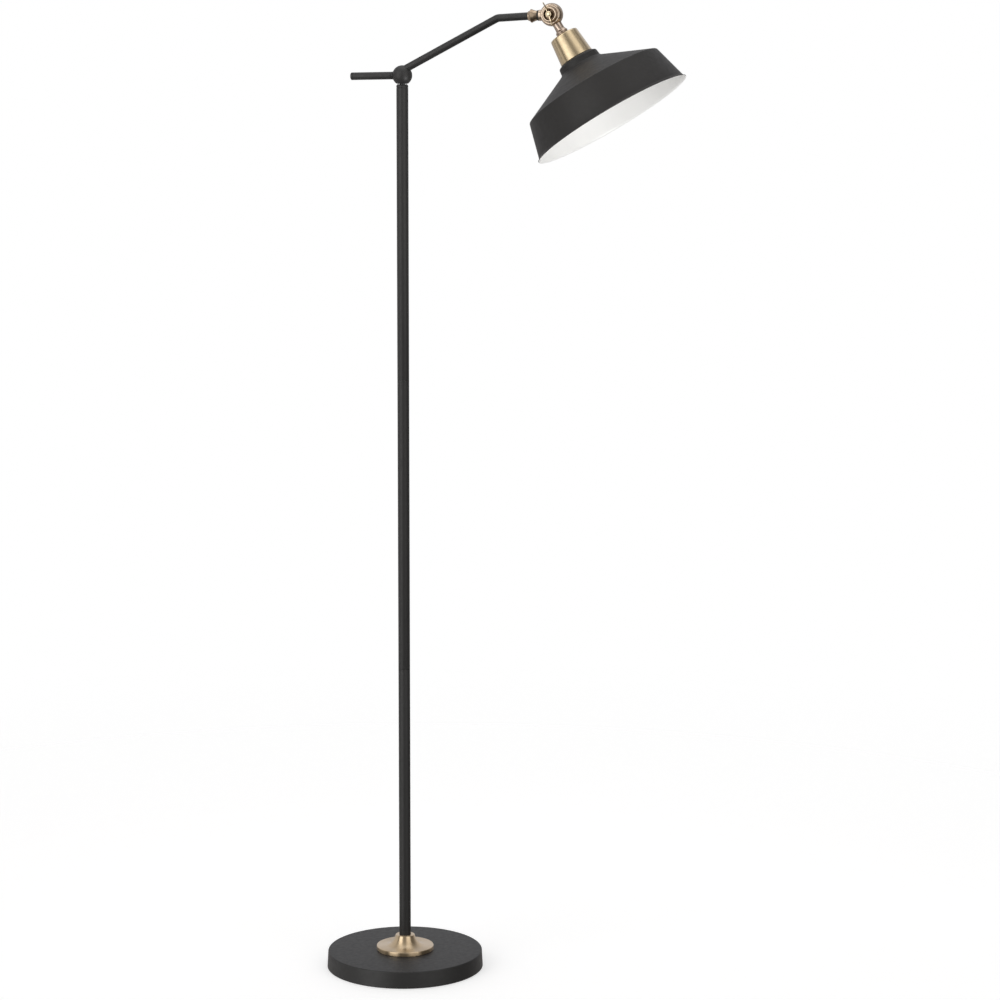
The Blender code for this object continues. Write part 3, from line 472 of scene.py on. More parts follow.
# ------------ materials


class Nodes:
    """A material's or world's node tree, with short calls to add to it."""

    def __init__(self, tree):
        self.tree = tree

    def add(self, kind, inputs=(), **settings):
        """A node with its settings and inputs; an input is a value or another node's socket."""
        node = self.tree.nodes.new(kind)
        for key, value in settings.items():
            setattr(node, key, value)
        for key, value in dict(inputs).items():
            if isinstance(value, bpy.types.NodeSocket):
                self.tree.links.new(value, node.inputs[key])
            else:
                node.inputs[key].default_value = value
        return node

    def math(self, operation, a, b=0.0):
        """A Math node's result."""
        node = self.add("ShaderNodeMath", {0: a, 1: b}, operation=operation)
        return node.outputs[0]

    def noise(self, vector, scale, detail=2.0, roughness=0.5):
        """A noise texture's value, about 0 to 1."""
        inputs = {"Vector": vector, "Scale": scale, "Detail": detail, "Roughness": roughness}
        return self.add("ShaderNodeTexNoise", inputs).outputs["Fac"]

    def spread(self, value, low, high, from_low=0.3, from_high=0.7, **settings):
        """The value mapped to a range."""
        inputs = {"Value": value, "From Min": from_low, "From Max": from_high}
        inputs.update({"To Min": low, "To Max": high})
        return self.add("ShaderNodeMapRange", inputs, **settings).outputs["Result"]

    def ease(self, value, start, end):
        """0 to 1 as the value goes from start to end, easing at both ends."""
        return self.spread(value, 0.0, 1.0, start, end, interpolation_type="SMOOTHSTEP")

    def band(self, value, start, full, ease, end):
        """0 outside a range, easing to 1 inside it."""
        return self.math("MULTIPLY", self.ease(value, start, full), self.ease(value, end, ease))

    def along(self, vector, axis):
        """How far a vector reaches along an axis."""
        product = self.add("ShaderNodeVectorMath", {0: vector, 1: axis}, operation="DOT_PRODUCT")
        return product.outputs["Value"]

    def axial(self, place):
        """(x, y, z, radius) of a place, where radius is its distance from the Z axis."""
        split = self.add("ShaderNodeSeparateXYZ", {"Vector": place})
        x, y, z = (split.outputs[axis] for axis in "XYZ")
        squares = self.math("ADD", self.math("MULTIPLY", x, x), self.math("MULTIPLY", y, y))
        return x, y, z, self.math("SQRT", squares)

    def blend(self, factor, first, second):
        """A mix of two colours."""
        node = self.tree.nodes.new("ShaderNodeMix")
        node.data_type = "RGBA"
        for slot, value in zip((0, 6, 7), (factor, first, second)):
            if isinstance(value, bpy.types.NodeSocket):
                self.tree.links.new(value, node.inputs[slot])
            else:
                node.inputs[slot].default_value = value if slot == 0 else (*value, 1.0)
        return node.outputs[2]

    def link(self, shader, **sockets):
        """Link values into the shader's inputs, named with underscores."""
        for key, value in sockets.items():
            self.tree.links.new(value, shader.inputs[key.replace("_", " ")])

    def bump(self, height, distance, strength=1.0, normal=None):
        """A bumped normal."""
        inputs = {"Height": height, "Distance": distance, "Strength": strength}
        if normal is not None:
            inputs["Normal"] = normal
        return self.add("ShaderNodeBump", inputs).outputs["Normal"]


def new_material(name):
    """(material, nodes, shader, place) with an empty Principled shader and the object coordinates."""
    material = bpy.data.materials.new(name)
    material.use_nodes = True
    nodes = Nodes(material.node_tree)
    place = nodes.add("ShaderNodeTexCoord").outputs["Object"]
    return material, nodes, nodes.tree.nodes["Principled BSDF"], place


def scaled(color, factor):
    """A colour made lighter or darker."""
    return tuple(min(channel * factor, 1.0) for channel in color)


def painted(name, color, roughness, peel=1.0, grain_scale=1500.0, drift=0.06, gloss=0.5):
    """A sprayed or powder-coated finish: fine grain, faint peel and slight changes of tone."""
    material, nodes, shader, place = new_material(name)
    cloud = nodes.spread(nodes.noise(place, 22.0, 3.0), 0.0, 1.0)
    tone = nodes.blend(cloud, scaled(color, 1.0 - drift), scaled(color, 1.0 + drift))
    rough = nodes.spread(nodes.noise(place, 140.0, 3.0), roughness - 0.05, roughness + 0.05)
    grain = nodes.noise(place, grain_scale, 2.0, 0.6)
    coarse = nodes.noise(place, grain_scale / 4.0, 1.0)
    normal = nodes.bump(grain, 0.00002 * peel, 0.6)
    normal = nodes.bump(coarse, 0.00004 * peel, 0.5, normal)
    nodes.link(shader, Base_Color=tone, Roughness=rough, Normal=normal)
    shader.inputs["Specular IOR Level"].default_value = gloss
    return material


def spun_metal(
    name, color, roughness, streaks=0.5, anisotropy=0.5, patina=None, patina_amount=0.0, lacquer=0.0,
):
    """A metal turned or brushed round its Z axis, with fine rings, and optional patina or lacquer."""
    material, nodes, shader, place = new_material(name)
    x, y, z, radius = nodes.axial(place)
    drift = nodes.math("MULTIPLY", nodes.math("ADD", x, y), 18.0)
    across = nodes.math("MULTIPLY", radius, RINGS_PER_M)
    along = nodes.math("MULTIPLY", z, RINGS_PER_M)
    rings = nodes.add("ShaderNodeCombineXYZ", {"X": across, "Y": along, "Z": drift}).outputs["Vector"]
    fine = nodes.noise(rings, 1.0, 3.0, 0.6)
    wide = nodes.noise(rings, 0.22, 2.0)
    darker = scaled(color, 1.0 - 0.14 * streaks)
    lighter = scaled(color, 1.0 + 0.10 * streaks)
    tone = nodes.blend(nodes.spread(wide, 0.0, 1.0), darker, lighter)
    cloud = nodes.noise(place, 90.0, 4.0, 0.6)
    if patina:
        stain = nodes.spread(cloud, 0.0, patina_amount, 0.42, 0.68)
        tone = nodes.blend(stain, tone, patina)
    even = nodes.spread(cloud, roughness - 0.04, roughness + 0.04)
    rough = nodes.math("ADD", nodes.spread(fine, -0.10 * streaks, 0.10 * streaks), even)
    normal = nodes.bump(fine, 0.000003 * streaks, 0.6)
    tangent = nodes.add("ShaderNodeTangent", direction_type="RADIAL", axis="Z").outputs["Tangent"]
    nodes.link(shader, Base_Color=tone, Roughness=rough, Normal=normal, Tangent=tangent)
    shader.inputs["Metallic"].default_value = 1.0
    shader.inputs["Anisotropic"].default_value = anisotropy
    shader.inputs["Anisotropic Rotation"].default_value = 0.25
    shader.inputs["Coat Weight"].default_value = lacquer
    shader.inputs["Coat Roughness"].default_value = LACQUER_ROUGHNESS
    return material


def cast_metal(name, color, roughness, dark, crevice=0.7, metallic=1.0, boss=False):
    """A cast metal with an aged finish: darker in its hollows and blotched, brighter on its edges.

    With boss, painted shadow darkens the knuckle's recess and the ledge round its ring, and a painted
    highlight lightens the ring's crest.
    """
    material, nodes, shader, place = new_material(name)
    cloud = nodes.noise(place, 260.0, 4.0, 0.65)
    point = nodes.add("ShaderNodeNewGeometry").outputs["Pointiness"]
    hollow = nodes.spread(point, crevice, 0.0, 0.40, 0.52)
    blotch = nodes.spread(cloud, 0.0, 0.55, 0.40, 0.70)
    age_and_shadow = nodes.math("MAXIMUM", hollow, blotch)
    if boss:
        # Painted shadow in the knuckle's recess and in the groove round the ring's foot, and a painted
        # highlight on the ring's crest
        _, _, z, radius = nodes.axial(place)
        outward = nodes.spread(z, 0.0, 1.0, RECESS_FLOOR - 0.0010, RECESS_FLOOR - 0.0004)
        recess_shadow = nodes.spread(radius, 0.95, 0.0, RECESS_R + 0.0001, RECESS_R + 0.0005)
        groove_shadow = nodes.spread(radius, 0.0, 0.28, BOSS_FOOT_R - 0.0006, BOSS_FOOT_R)
        inner = nodes.spread(radius, 1.0, 0.0, BOSS_FOOT_R + 0.0006, BOSS_FOOT_R + 0.0022)
        groove_shadow = nodes.math("MULTIPLY", groove_shadow, inner)
        # patina here is painted shadow in the recess and the groove, not a finish
        patina = nodes.math("MULTIPLY", nodes.math("MAXIMUM", recess_shadow, groove_shadow), outward)
        # A painted highlight: the ring's crest keeps the plain, lighter brass
        crest_highlight = nodes.spread(z, 1.0, 0.15, RING_TOP - 0.0022, RING_TOP - 0.0006)
        age_and_shadow = nodes.math("MAXIMUM", nodes.math("MULTIPLY", age_and_shadow, crest_highlight), patina)
    tone = nodes.blend(age_and_shadow, color, dark)
    rough = nodes.spread(cloud, roughness - 0.08, roughness + 0.12)
    normal = nodes.bump(nodes.noise(place, 900.0, 3.0), 0.00003, 0.5)
    nodes.link(shader, Base_Color=tone, Roughness=rough, Normal=normal)
    shader.inputs["Metallic"].default_value = metallic
    return material


def moulded(name, color, roughness, grain_scale=2200.0, depth=0.00002):
    """A moulded plastic or rubber: an even tone with a fine tool grain."""
    material, nodes, shader, place = new_material(name)
    cloud = nodes.noise(place, 70.0, 2.0)
    tone = nodes.blend(nodes.spread(cloud, 0.0, 1.0), scaled(color, 0.94), scaled(color, 1.04))
    rough = nodes.spread(nodes.noise(place, 400.0, 2.0), roughness - 0.05, roughness + 0.05)
    normal = nodes.bump(nodes.noise(place, grain_scale, 2.0), depth, 0.5)
    nodes.link(shader, Base_Color=tone, Roughness=rough, Normal=normal)
    return material


def fibrous(name, color):
    """Pressed felt: matted fibres that run every way, with a soft sheen."""
    material, nodes, shader, place = new_material(name)
    noise = nodes.add("ShaderNodeTexNoise", {"Vector": place, "Scale": 500.0, "Detail": 3.0})
    warp = noise.outputs["Color"]
    bent = nodes.add("ShaderNodeVectorMath", {0: warp, 1: (0.004, 0.004, 0.004)}, operation="MULTIPLY")
    moved = nodes.add("ShaderNodeVectorMath", {0: place, 1: bent.outputs[0]}, operation="ADD").outputs[0]
    fibre = nodes.noise(moved, 2400.0, 4.0, 0.7)
    tone = nodes.blend(nodes.spread(fibre, 0.0, 1.0), scaled(color, 0.6), scaled(color, 1.6))
    nodes.link(shader, Base_Color=tone, Normal=nodes.bump(fibre, 0.0003, 0.8))
    shader.inputs["Roughness"].default_value = 0.95
    shader.inputs["Sheen Weight"].default_value = 0.4
    shader.inputs["Sheen Roughness"].default_value = 0.6
    return material


# A piece's finish is a material and the record's slot that it stands for. The hidden CAD nodes and the
# shade's inside need the material only.
paint_black = painted("paint_black_powder", (0.0235, 0.023, 0.023), 0.50, gloss=0.42), "black_paint"
paint_shade = painted("paint_shade_powder", (0.024, 0.0228, 0.0224), 0.54, gloss=0.30), "shade_paint"
paint_white = painted("paint_reflector_white", (0.86, 0.86, 0.85), 0.42, peel=0.6, drift=0.012)
brass_flange = spun_metal(
    "brass_flange", (0.69, 0.53, 0.34), 0.32, streaks=0.06, anisotropy=1.0, lacquer=0.6,
), "brass_polished"
brass_cup = spun_metal(
    "brass_cup", (0.68, 0.54, 0.34), 0.31, streaks=0.08, anisotropy=1.0, lacquer=0.7,
), "brass_satin"
brass_turned = spun_metal(
    "brass_turned_antique", (0.55, 0.43, 0.31), 0.32, streaks=0.5, anisotropy=0.3,
    patina=(0.16, 0.10, 0.07), patina_amount=0.7,
), "brass_antique"
brass_cast = cast_metal("brass_cast_antique", (0.56, 0.455, 0.37), 0.26, (0.20, 0.14, 0.11)), "brass_antique"
brass_boss = cast_metal(
    "brass_boss_antique", (0.57, 0.46, 0.355), 0.25, (0.11, 0.07, 0.045), crevice=0.5, boss=True,
), "brass_antique"
brass_wing = cast_metal(
    "brass_wing_worn", (0.86, 0.72, 0.50), 0.20, (0.52, 0.40, 0.27), crevice=0.25,
), "brass_antique"
# A dark brass that stands in as painted shadow on the washer down in the knuckle's recess
brass_recess_shadow = cast_metal("brass_painted_shadow", (0.16, 0.11, 0.075), 0.34, (0.06, 0.04, 0.03)), "brass_antique"
steel_zinc = spun_metal("steel_zinc", (0.56, 0.57, 0.58), 0.38, streaks=0.6, anisotropy=0.2,
                        patina=(0.42, 0.43, 0.40), patina_amount=0.5)
nickel = spun_metal("nickel_plated", (0.70, 0.66, 0.60), 0.24, streaks=0.3, anisotropy=0.2), "nickel"
iron = cast_metal("iron_cast", (0.11, 0.105, 0.10), 0.66, (0.035, 0.032, 0.03), metallic=0.7)
felt = fibrous("felt_black", (0.030, 0.030, 0.032)), "felt"
rubber = moulded("rubber_black", (0.018, 0.018, 0.018), 0.62), "black_rubber"
nylon = moulded("nylon_black", (0.016, 0.016, 0.017), 0.48), "black_nylon"
thermoplastic = moulded("thermoplastic_white", (0.80, 0.79, 0.76), 0.38), "white_plastic"
sheath = moulded("lead_sheath_black", (0.022, 0.022, 0.022), 0.52)


# ------------ pieces


def dress(obj, finish, body, node, inside=None):
    """Give a piece its finish and the body that it rides on, and hide the CAD node that it stands for."""
    material, slot = finish
    obj.data.materials.append(material)
    if inside:
        obj.data.materials.append(inside)
    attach(obj, body)
    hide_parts(node)


def make_base():
    """The pressed cover, the felt pad under it and the grommet at its cord entry."""
    outer = filleted(
        [(NIPPLE_R + 0.0005, BASE_H), (BASE_TOP_R, BASE_H), (BASE_FOOT_R, COVER_CLEAR_Z)],
        0.0020, closed=False, count=8,
    )
    outline = thickened(outer, WALL)
    cover = lathe("cover_pressing", outline, steps=192)
    entry = rod(CORD_ENTRY_R, (0, 0.115, CORD_ENTRY_Z), (0, 0.140, CORD_ENTRY_Z))
    combine(cover, entry)
    dress(cover, paint_black, "stand", "base_cover")
    pad = [(0.0, PAD_H), (PAD_R, PAD_H), (PAD_R, 0.0), (0.0, 0.0)]
    obj = lathe("pad_felt", filleted(pad, 0.0006), steps=128)
    dress(obj, felt, "stand", "base_pad")
    collar = [
        (GROMMET_HEAD_R - 0.0007, 0.0022), (GROMMET_HEAD_R, 0.0014),
        (GROMMET_HEAD_R, 0.0006), (GROMMET_NECK_R, 0.0006),
        (GROMMET_NECK_R, -0.0022), (GROMMET_LIP_R, -0.0022),
        (GROMMET_LIP_R, -0.0036), (GROMMET_BORE_R, -0.0036),
        (GROMMET_BORE_R, 0.0022),
    ]
    rear = Matrix.Translation((0, BASE_FOOT_R - 0.0005, CORD_ENTRY_Z))
    rear = rear @ Matrix.Rotation(math.radians(-90.0), 4, "X")
    obj = lathe("grommet_body", filleted(collar, 0.0003), rear)
    dress(obj, rubber, "stand", "base_cord_grommet")


def make_flange():
    """The brass trumpet flange over the pole's foot."""
    bottom = BASE_H + GAP
    rim_top = bottom + FLANGE_H
    seat_r = POLE_R + GAP
    foot_edge = 0.0006
    lip_center = (FLANGE_NECK_R - FLANGE_LIP_R, FLANGE_TOP_Z - FLANGE_LIP_R)
    lip = arc(lip_center, FLANGE_LIP_R, 90.0, 20.0, 8)
    neck_pull = (FLANGE_NECK_R + 0.0022, FLANGE_TOP_Z - 0.0077)
    foot_pull = (FLANGE_FOOT_R - 0.0085, rim_top + 0.0017)
    outline = [
        (seat_r, FLANGE_TOP_Z),
        *lip,
        *flare(lip[-1], neck_pull, foot_pull, (FLANGE_FOOT_R, rim_top + 0.0003), 28),
        *arc((FLANGE_R - FLANGE_EDGE_R, rim_top - FLANGE_EDGE_R), FLANGE_EDGE_R, 90.0, 0.0, 8),
        *arc((FLANGE_R - foot_edge, bottom + foot_edge), foot_edge, 0.0, -90.0, 4),
        (NIPPLE_R + GAP, bottom), (NIPPLE_R + GAP, POLE_SEAT_Z), (seat_r, POLE_SEAT_Z),
    ]
    obj = lathe("flange_spun", outline, steps=144)
    dress(obj, brass_flange, "stand", "base_flange")


def make_pole():
    """Three tubes with eased ends, so that their joint lines show, and the ferrule on top."""
    ends = [POLE_SEAT_Z + GAP / 2.0, *POLE_JOINTS_Z, POLE_END_Z]
    for part, low, high in zip(("lower", "middle", "upper"), ends, ends[1:]):
        obj = washer(
            "pole_section_" + part, POLE_BORE_R, POLE_R, low + GAP / 2.0, high - GAP / 2.0,
            steps=72, edge=0.00025,
        )
        dress(obj, paint_black, "stand", "pole_" + part)
    low = POLE_END_Z + GAP / 2.0
    bore = SWIVEL_NIPPLE_R + GAP
    outline = [
        (bore, POLE_CAP_TOP_Z), (POLE_R - 0.0012, POLE_CAP_TOP_Z),
        (POLE_R, POLE_CAP_TOP_Z - 0.0020), (POLE_R, low), (POLE_PLUG_R, low),
        (POLE_PLUG_R, low - POLE_CAP_SPIGOT_L), (bore, low - POLE_CAP_SPIGOT_L),
    ]
    obj = lathe("pole_ferrule", filleted(outline, 0.0003), steps=72)
    dress(obj, paint_black, "stand", "pole_cap")
    flat_z = BALL_Z - BALL_FLAT_DEPTH
    obj = washer("swivel_bush", bore, SWIVEL_WASHER_R, POLE_CAP_TOP_Z + GAP, flat_z - GAP)
    dress(obj, nylon, "stand", "swivel_washer")


def make_ball():
    """The hollow ball that the arm and the handle are fixed in."""
    half = math.degrees(math.asin(BALL_FLAT_DEPTH / BALL_R))
    bore = SWIVEL_NIPPLE_R + GAP
    outline = [
        (0.0, BALL_R),
        *arc((0.0, 0.0), BALL_R, 87.0, -half, 44),
        (bore, -BALL_FLAT_DEPTH), (bore, -BALL_FLOOR_DEPTH),
        (BALL_CAVITY_R, -BALL_FLOOR_DEPTH), (BALL_CAVITY_R, 0.0055),
        (0.0045, 0.0090), (0.0, 0.0090),
    ]
    ball = lathe("ball_body", outline, SWIVEL, steps=96)
    foot, along = arm_axis()
    start = foot - Vector((0.0, 0.0, BALL_Z))
    arm_hole = rod(TUBE_R + GAP, start + 0.0072 * along, start + 0.0250 * along, SWIVEL)
    lead_hole = rod(LEAD_HOLE_R, start + 0.0010 * along, start + 0.0100 * along, SWIVEL)
    stud_hole = rod(HANDLE_STUD_R + GAP, (-0.0220, 0, 0), (-0.0060, 0, 0), SWIVEL)
    for hole in (arm_hole, lead_hole, stud_hole):
        combine(ball, hole)
    dress(ball, paint_black, "arm", "ball_joint_body")


def make_handle():
    """The steering handle: a fitting in the ball, a tube and an end plug."""
    inner_r = TUBE_R - TUBE_WALL - GAP
    fitting = [
        (0.0, -0.0095), (HANDLE_STUD_R, -0.0095), (HANDLE_STUD_R, -0.0150),
        (TUBE_R + 0.0002, -0.0150), (TUBE_R + 0.0002, -0.0176), (inner_r, -0.0176),
        (inner_r, -0.0300), (0.0, -0.0300),
    ]
    obj = lathe("handle_socket", filleted(fitting, 0.0003), HANDLE)
    dress(obj, paint_black, "arm", "handle_fitting")
    tube_end = -HANDLE_L + 0.0040
    obj = washer("handle_bar", TUBE_R - TUBE_WALL, TUBE_R, tube_end, -0.0179, HANDLE, edge=0.00025)
    dress(obj, paint_black, "arm", "handle_tube")
    tip_r = 0.0012
    plug = [
        (0.0, tube_end + 0.0120), (inner_r, tube_end + 0.0120),
        (inner_r, tube_end - GAP), (TUBE_R, tube_end - GAP),
        *arc((TUBE_R - tip_r, -HANDLE_L + tip_r), tip_r, 0.0, -90.0, 8),
        (0.0, -HANDLE_L),
    ]
    obj = lathe("handle_tip", plug, HANDLE)
    dress(obj, paint_black, "arm", "handle_end_plug")


def arm_path(count=20):
    """The arm's centre line, from inside the ball to inside the collar, in the ball's frame."""
    foot, along = arm_axis()
    end = PIVOT - ARM_TUBE_END * END_AXIS
    turn = along.angle(END_AXIS)
    first = ARM_BEND - ARM_BEND_R * math.tan(turn / 2.0) * along
    side = (END_AXIS - along * END_AXIS.dot(along)).normalized()
    center = first + ARM_BEND_R * side
    points = [foot + ARM_START * along]
    for i in range(count + 1):
        angle = turn * i / count
        points.append(center + ARM_BEND_R * (math.sin(angle) * along - math.cos(angle) * side))
    points.append(end)
    return [point - Vector((0.0, 0.0, BALL_Z)) for point in points]


def make_arm():
    """The bent arm with its brass collar and black washer."""
    obj = swept_tube("arm_bent_tube", arm_path(), TUBE_R, TUBE_R - TUBE_WALL, SWIVEL)
    dress(obj, paint_black, "arm", "arm_tube")
    bore = NIPPLE_R + GAP
    tube_bore = TUBE_R + GAP
    shoulder = -ARM_TUBE_END + GAP
    bead = -COLLAR_NEAR - 0.0098
    outline = [
        (bore, -COLLAR_NEAR), (COLLAR_R, -COLLAR_NEAR),
        (COLLAR_R + 0.0008, bead + 0.0058), (COLLAR_BEAD_R - 0.0003, bead + 0.0006),
        (COLLAR_BEAD_R, bead), (COLLAR_BEAD_R - 0.0003, bead - 0.0006),
        (COLLAR_R + 0.0006, bead - 0.0024), (COLLAR_R, -COLLAR_FAR),
        (tube_bore, -COLLAR_FAR), (tube_bore, shoulder), (bore, shoulder),
    ]
    easing = [0.0003, 0.0004, 0.004, 0.0008, 0.0006, 0.0008, 0.003, 0.0004, 0.0002, 0.0, 0.0]
    obj = lathe("collar_turned", filleted(outline, easing, count=6), ARM_END, steps=72)
    dress(obj, brass_turned, "arm", "arm_collar")
    obj = washer(
        "collar_washer", bore, COLLAR_WASHER_R, -COLLAR_NEAR + GAP, -COLLAR_WASHER_END, ARM_END,
        edge=0.0004,
    )
    dress(obj, rubber, "arm", "arm_washer")


def knuckle_half(name, face, face_r, easing, stem_outline, stem_easing, matrix, side):
    """One half of the knuckle: side is -1 towards -Y and +1 towards +Y."""
    start = math.degrees(math.acos(face_r / KNUCKLE_R))
    end = math.degrees(math.asin(KNUCKLE_SPLIT / KNUCKLE_R))
    ball = arc((0.0, 0.0), KNUCKLE_R, start, end, 26)
    outline = [
        *filleted(face + [ball[0], ball[8]], easing + [0.0], closed=False),
        *ball[9:],
        (KNUCKLE_CHAMBER_R, KNUCKLE_SPLIT), (KNUCKLE_CHAMBER_R, KNUCKLE_CHAMBER_DEPTH),
        (0.0062, KNUCKLE_CHAMBER_DEPTH), (0.0054, KNUCKLE_SPLIT), (BOLT_R + GAP, KNUCKLE_SPLIT),
    ]
    level = matrix @ Matrix.Rotation(math.radians(-90.0 * side), 4, "X")
    half = lathe(name, outline, level, steps=96)
    stem = lathe("stem", filleted(stem_outline, stem_easing), matrix, steps=72)
    rest = -math.degrees(math.asin(KNUCKLE_SPLIT / KNUCKLE_SWEEP_R))
    sweep_outline = [
        (0.0, KNUCKLE_SWEEP_R),
        *arc((0.0, 0.0), KNUCKLE_SWEEP_R, 84.0, rest, 24),
        (0.0, -KNUCKLE_SPLIT),
    ]
    across = matrix @ Matrix.Rotation(math.radians(90.0 * side), 4, "X")
    sweep = lathe("sweep", sweep_outline, across, steps=72)
    combine(stem, sweep)
    combine(half, stem, "UNION")
    way = rod(LEAD_WAY_R, (0, 0.0050 * side, -0.0090), (0, -0.0004 * side, -0.0260), matrix, steps=32)
    combine(half, way)
    combine(half, rod(LEAD_WAY_R, (0, 0, -0.0225), (0, 0, -0.0600), matrix, steps=32))
    return half


def make_knuckle():
    """Both halves, the friction disc between them and the slotted bolt through them."""
    ledge_y = math.sqrt(KNUCKLE_R ** 2 - BOSS_LEDGE_R ** 2)
    face = [
        (BOLT_R + GAP, RECESS_FLOOR), (RECESS_R, RECESS_FLOOR),
        (RECESS_R, RING_TOP - 0.0005), (RECESS_R + 0.0006, RING_TOP),
        (RING_R - 0.0006, RING_TOP), (RING_R, RING_TOP - 0.0006),
        (BOSS_FOOT_R, ledge_y - 0.0003),
    ]
    stem = [
        (0.0, -0.0145), (ARM_STEM_R, -0.0145), (ARM_STEM_R, -0.0196),
        (ARM_STEM_R - 0.0006, -0.0203), (STEM_SPIGOT_R, -0.0203),
        (STEM_SPIGOT_R, -0.0290), (0.0, -0.0290),
    ]
    easing = [0.0, 0.0006, 0.0004, 0.0006, 0.0006, 0.0005, 0.0014, 0.0018]
    front = knuckle_half("knuckle_front", face, BOSS_LEDGE_R, easing, stem, 0.0004, ARM_END, -1)
    dress(front, brass_boss, "arm", "knuckle_arm_half")
    face = [
        (BOLT_R + GAP, 0.0105), (0.0062, 0.0105), (0.0062, 0.0140), (0.0110, 0.0140),
    ]
    stem = [
        (0.0, -0.0145), (HEAD_STEM_R + 0.0005, -0.0145), (HEAD_STEM_R, -0.0190),
        (HEAD_STEM_R, -0.0240), (HEAD_STEM_R + 0.0005, -0.0278),
        (STEM_FLANGE_R - 0.0009, -0.0302), (STEM_FLANGE_R - 0.0004, -0.0310),
        (STEM_FLANGE_R - 0.0004, -0.0322), (STEM_GROOVE_R, -0.0326),
        (STEM_GROOVE_R, -0.0332), (STEM_FLANGE_R, -0.0336),
        (STEM_FLANGE_R, -STEM_END_S), (STEM_SPIGOT_R, -STEM_END_S),
        (STEM_SPIGOT_R, -0.0480), (0.0, -0.0480),
    ]
    stem_easing = [0.0, 0.0, 0.006, 0.004, 0.0018, 0.0010, 0.0004]
    stem_easing += [0.0003, 0.0002, 0.0002, 0.0003, 0.0003, 0.0, 0.0, 0.0]
    easing = [0.0, 0.0004, 0.0004, 0.0010, 0.0]
    rear = knuckle_half("knuckle_rear", face, BOLT_FACE_R, easing, stem, stem_easing, HEAD, 1)
    dress(rear, brass_cast, "head", "knuckle_head_half")
    obj = washer("friction_disc", *FRICTION_RING_R, -0.0004, 0.0004, PIVOT_OUT, steps=96, edge=0.0001)
    dress(obj, nylon, "arm", "knuckle_friction_washer")
    head_near, head_far = BOLT_HEAD_Y
    outline = [
        (0.0, BOLT_END), (BOLT_R - 0.0008, BOLT_END), (BOLT_R, BOLT_END - 0.0008),
        (BOLT_R, -head_near), (BOLT_HEAD_R, -head_near),
        (BOLT_HEAD_R, 0.0008 - head_far), (BOLT_HEAD_R - 0.0008, -head_far),
        (0.0, -head_far),
    ]
    bolt = lathe("bolt_slotted", filleted(outline, 0.0003), PIVOT_OUT)
    slot = block((-0.0070, -0.0006, -0.0160), (0.0070, 0.0006, -0.0135), PIVOT_OUT)
    combine(bolt, slot)
    dress(bolt, brass_wing, "head", "pivot_bolt")
    low = RECESS_FLOOR + GAP
    # The washer in the recess takes the dark brass: painted shadow
    obj = washer("wing_disc", BOLT_R + GAP, WING_WASHER_R, low, low + WING_WASHER_H, PIVOT_OUT)
    dress(obj, brass_recess_shadow, "arm", "wing_washer")


def wing_blade(turn):
    """One blade of the wing nut, thick at its root and thin at its rounded edge."""
    base = RING_TOP + GAP * 2.0
    lower = [(0.0030, base - 0.0030), (0.0080, base), (0.0130, base + 0.0008), (0.0172, base + 0.0036)]
    lower += [(0.0196, base + 0.0068), (WING_SPAN, base + 0.0088)]
    upper = [(0.0030, base + 0.0040), (0.0100, base + 0.0048), (0.0140, base + 0.0070)]
    upper += [(0.0174, base + 0.0100), (0.0190, base + 0.0102), (WING_SPAN, base + 0.0088)]
    shape = bmesh.new()
    columns = []
    samples, sides = 18, 16
    for i in range(samples + 1):
        u = i / samples
        low = along_line(lower, u)
        high = along_line(upper, u)
        half = WING_THICK / 2.0 * (1.0 - 0.55 * u)
        loop = []
        for k in range(sides):
            angle = 2.0 * math.pi * k / sides
            flat = 0.5 + 0.5 * math.copysign(abs(math.sin(angle)) ** 0.7, math.sin(angle))
            place = low.lerp(high, flat)
            across = half * math.copysign(abs(math.cos(angle)) ** 0.6, math.cos(angle))
            loop.append(shape.verts.new((place.x, across, place.y)))
        columns.append(loop)
    for first, second in zip(columns, columns[1:]):
        for k in range(sides):
            n = (k + 1) % sides
            shape.faces.new((first[k], first[n], second[n], second[k]))
    shape.faces.new(columns[0])
    bmesh.ops.remove_doubles(shape, verts=shape.verts, dist=MERGE_DISTANCE)
    return add_shape("blade", shape, WING @ Matrix.Rotation(turn, 4, "Z"))


def along_line(points, share):
    """The point at a share of a line's length."""
    places = [Vector(p) for p in points]
    lengths = [(b - a).length for a, b in zip(places, places[1:])]
    left = share * sum(lengths)
    for (a, b), length in zip(zip(places, places[1:]), lengths):
        if left <= length:
            return a.lerp(b, left / length)
        left -= length
    return places[-1]


def make_wing_nut():
    """The wing nut that clamps the knuckle: a conical hub with two blades."""
    low = RECESS_FLOOR + WING_WASHER_H + 2.0 * GAP
    outline = [
        (BOLT_R + GAP, BOLT_END - 0.0012), (0.0042, BOLT_END - 0.0012),
        (0.0048, BOLT_END - 0.0020), (WING_HUB_R, low + 0.0010), (WING_HUB_R, low),
        (BOLT_R + GAP, low),
    ]
    nut = lathe("wing_nut_cast", filleted(outline, 0.0004), WING)
    for i in range(2):
        combine(nut, wing_blade(math.pi * i), "UNION")
    thread = rod(BOLT_R + GAP, (0, 0, 0.0050), (0, 0, 0.0300), WING)
    combine(nut, thread)
    dress(nut, brass_wing, "wing_nut", "wing_nut")


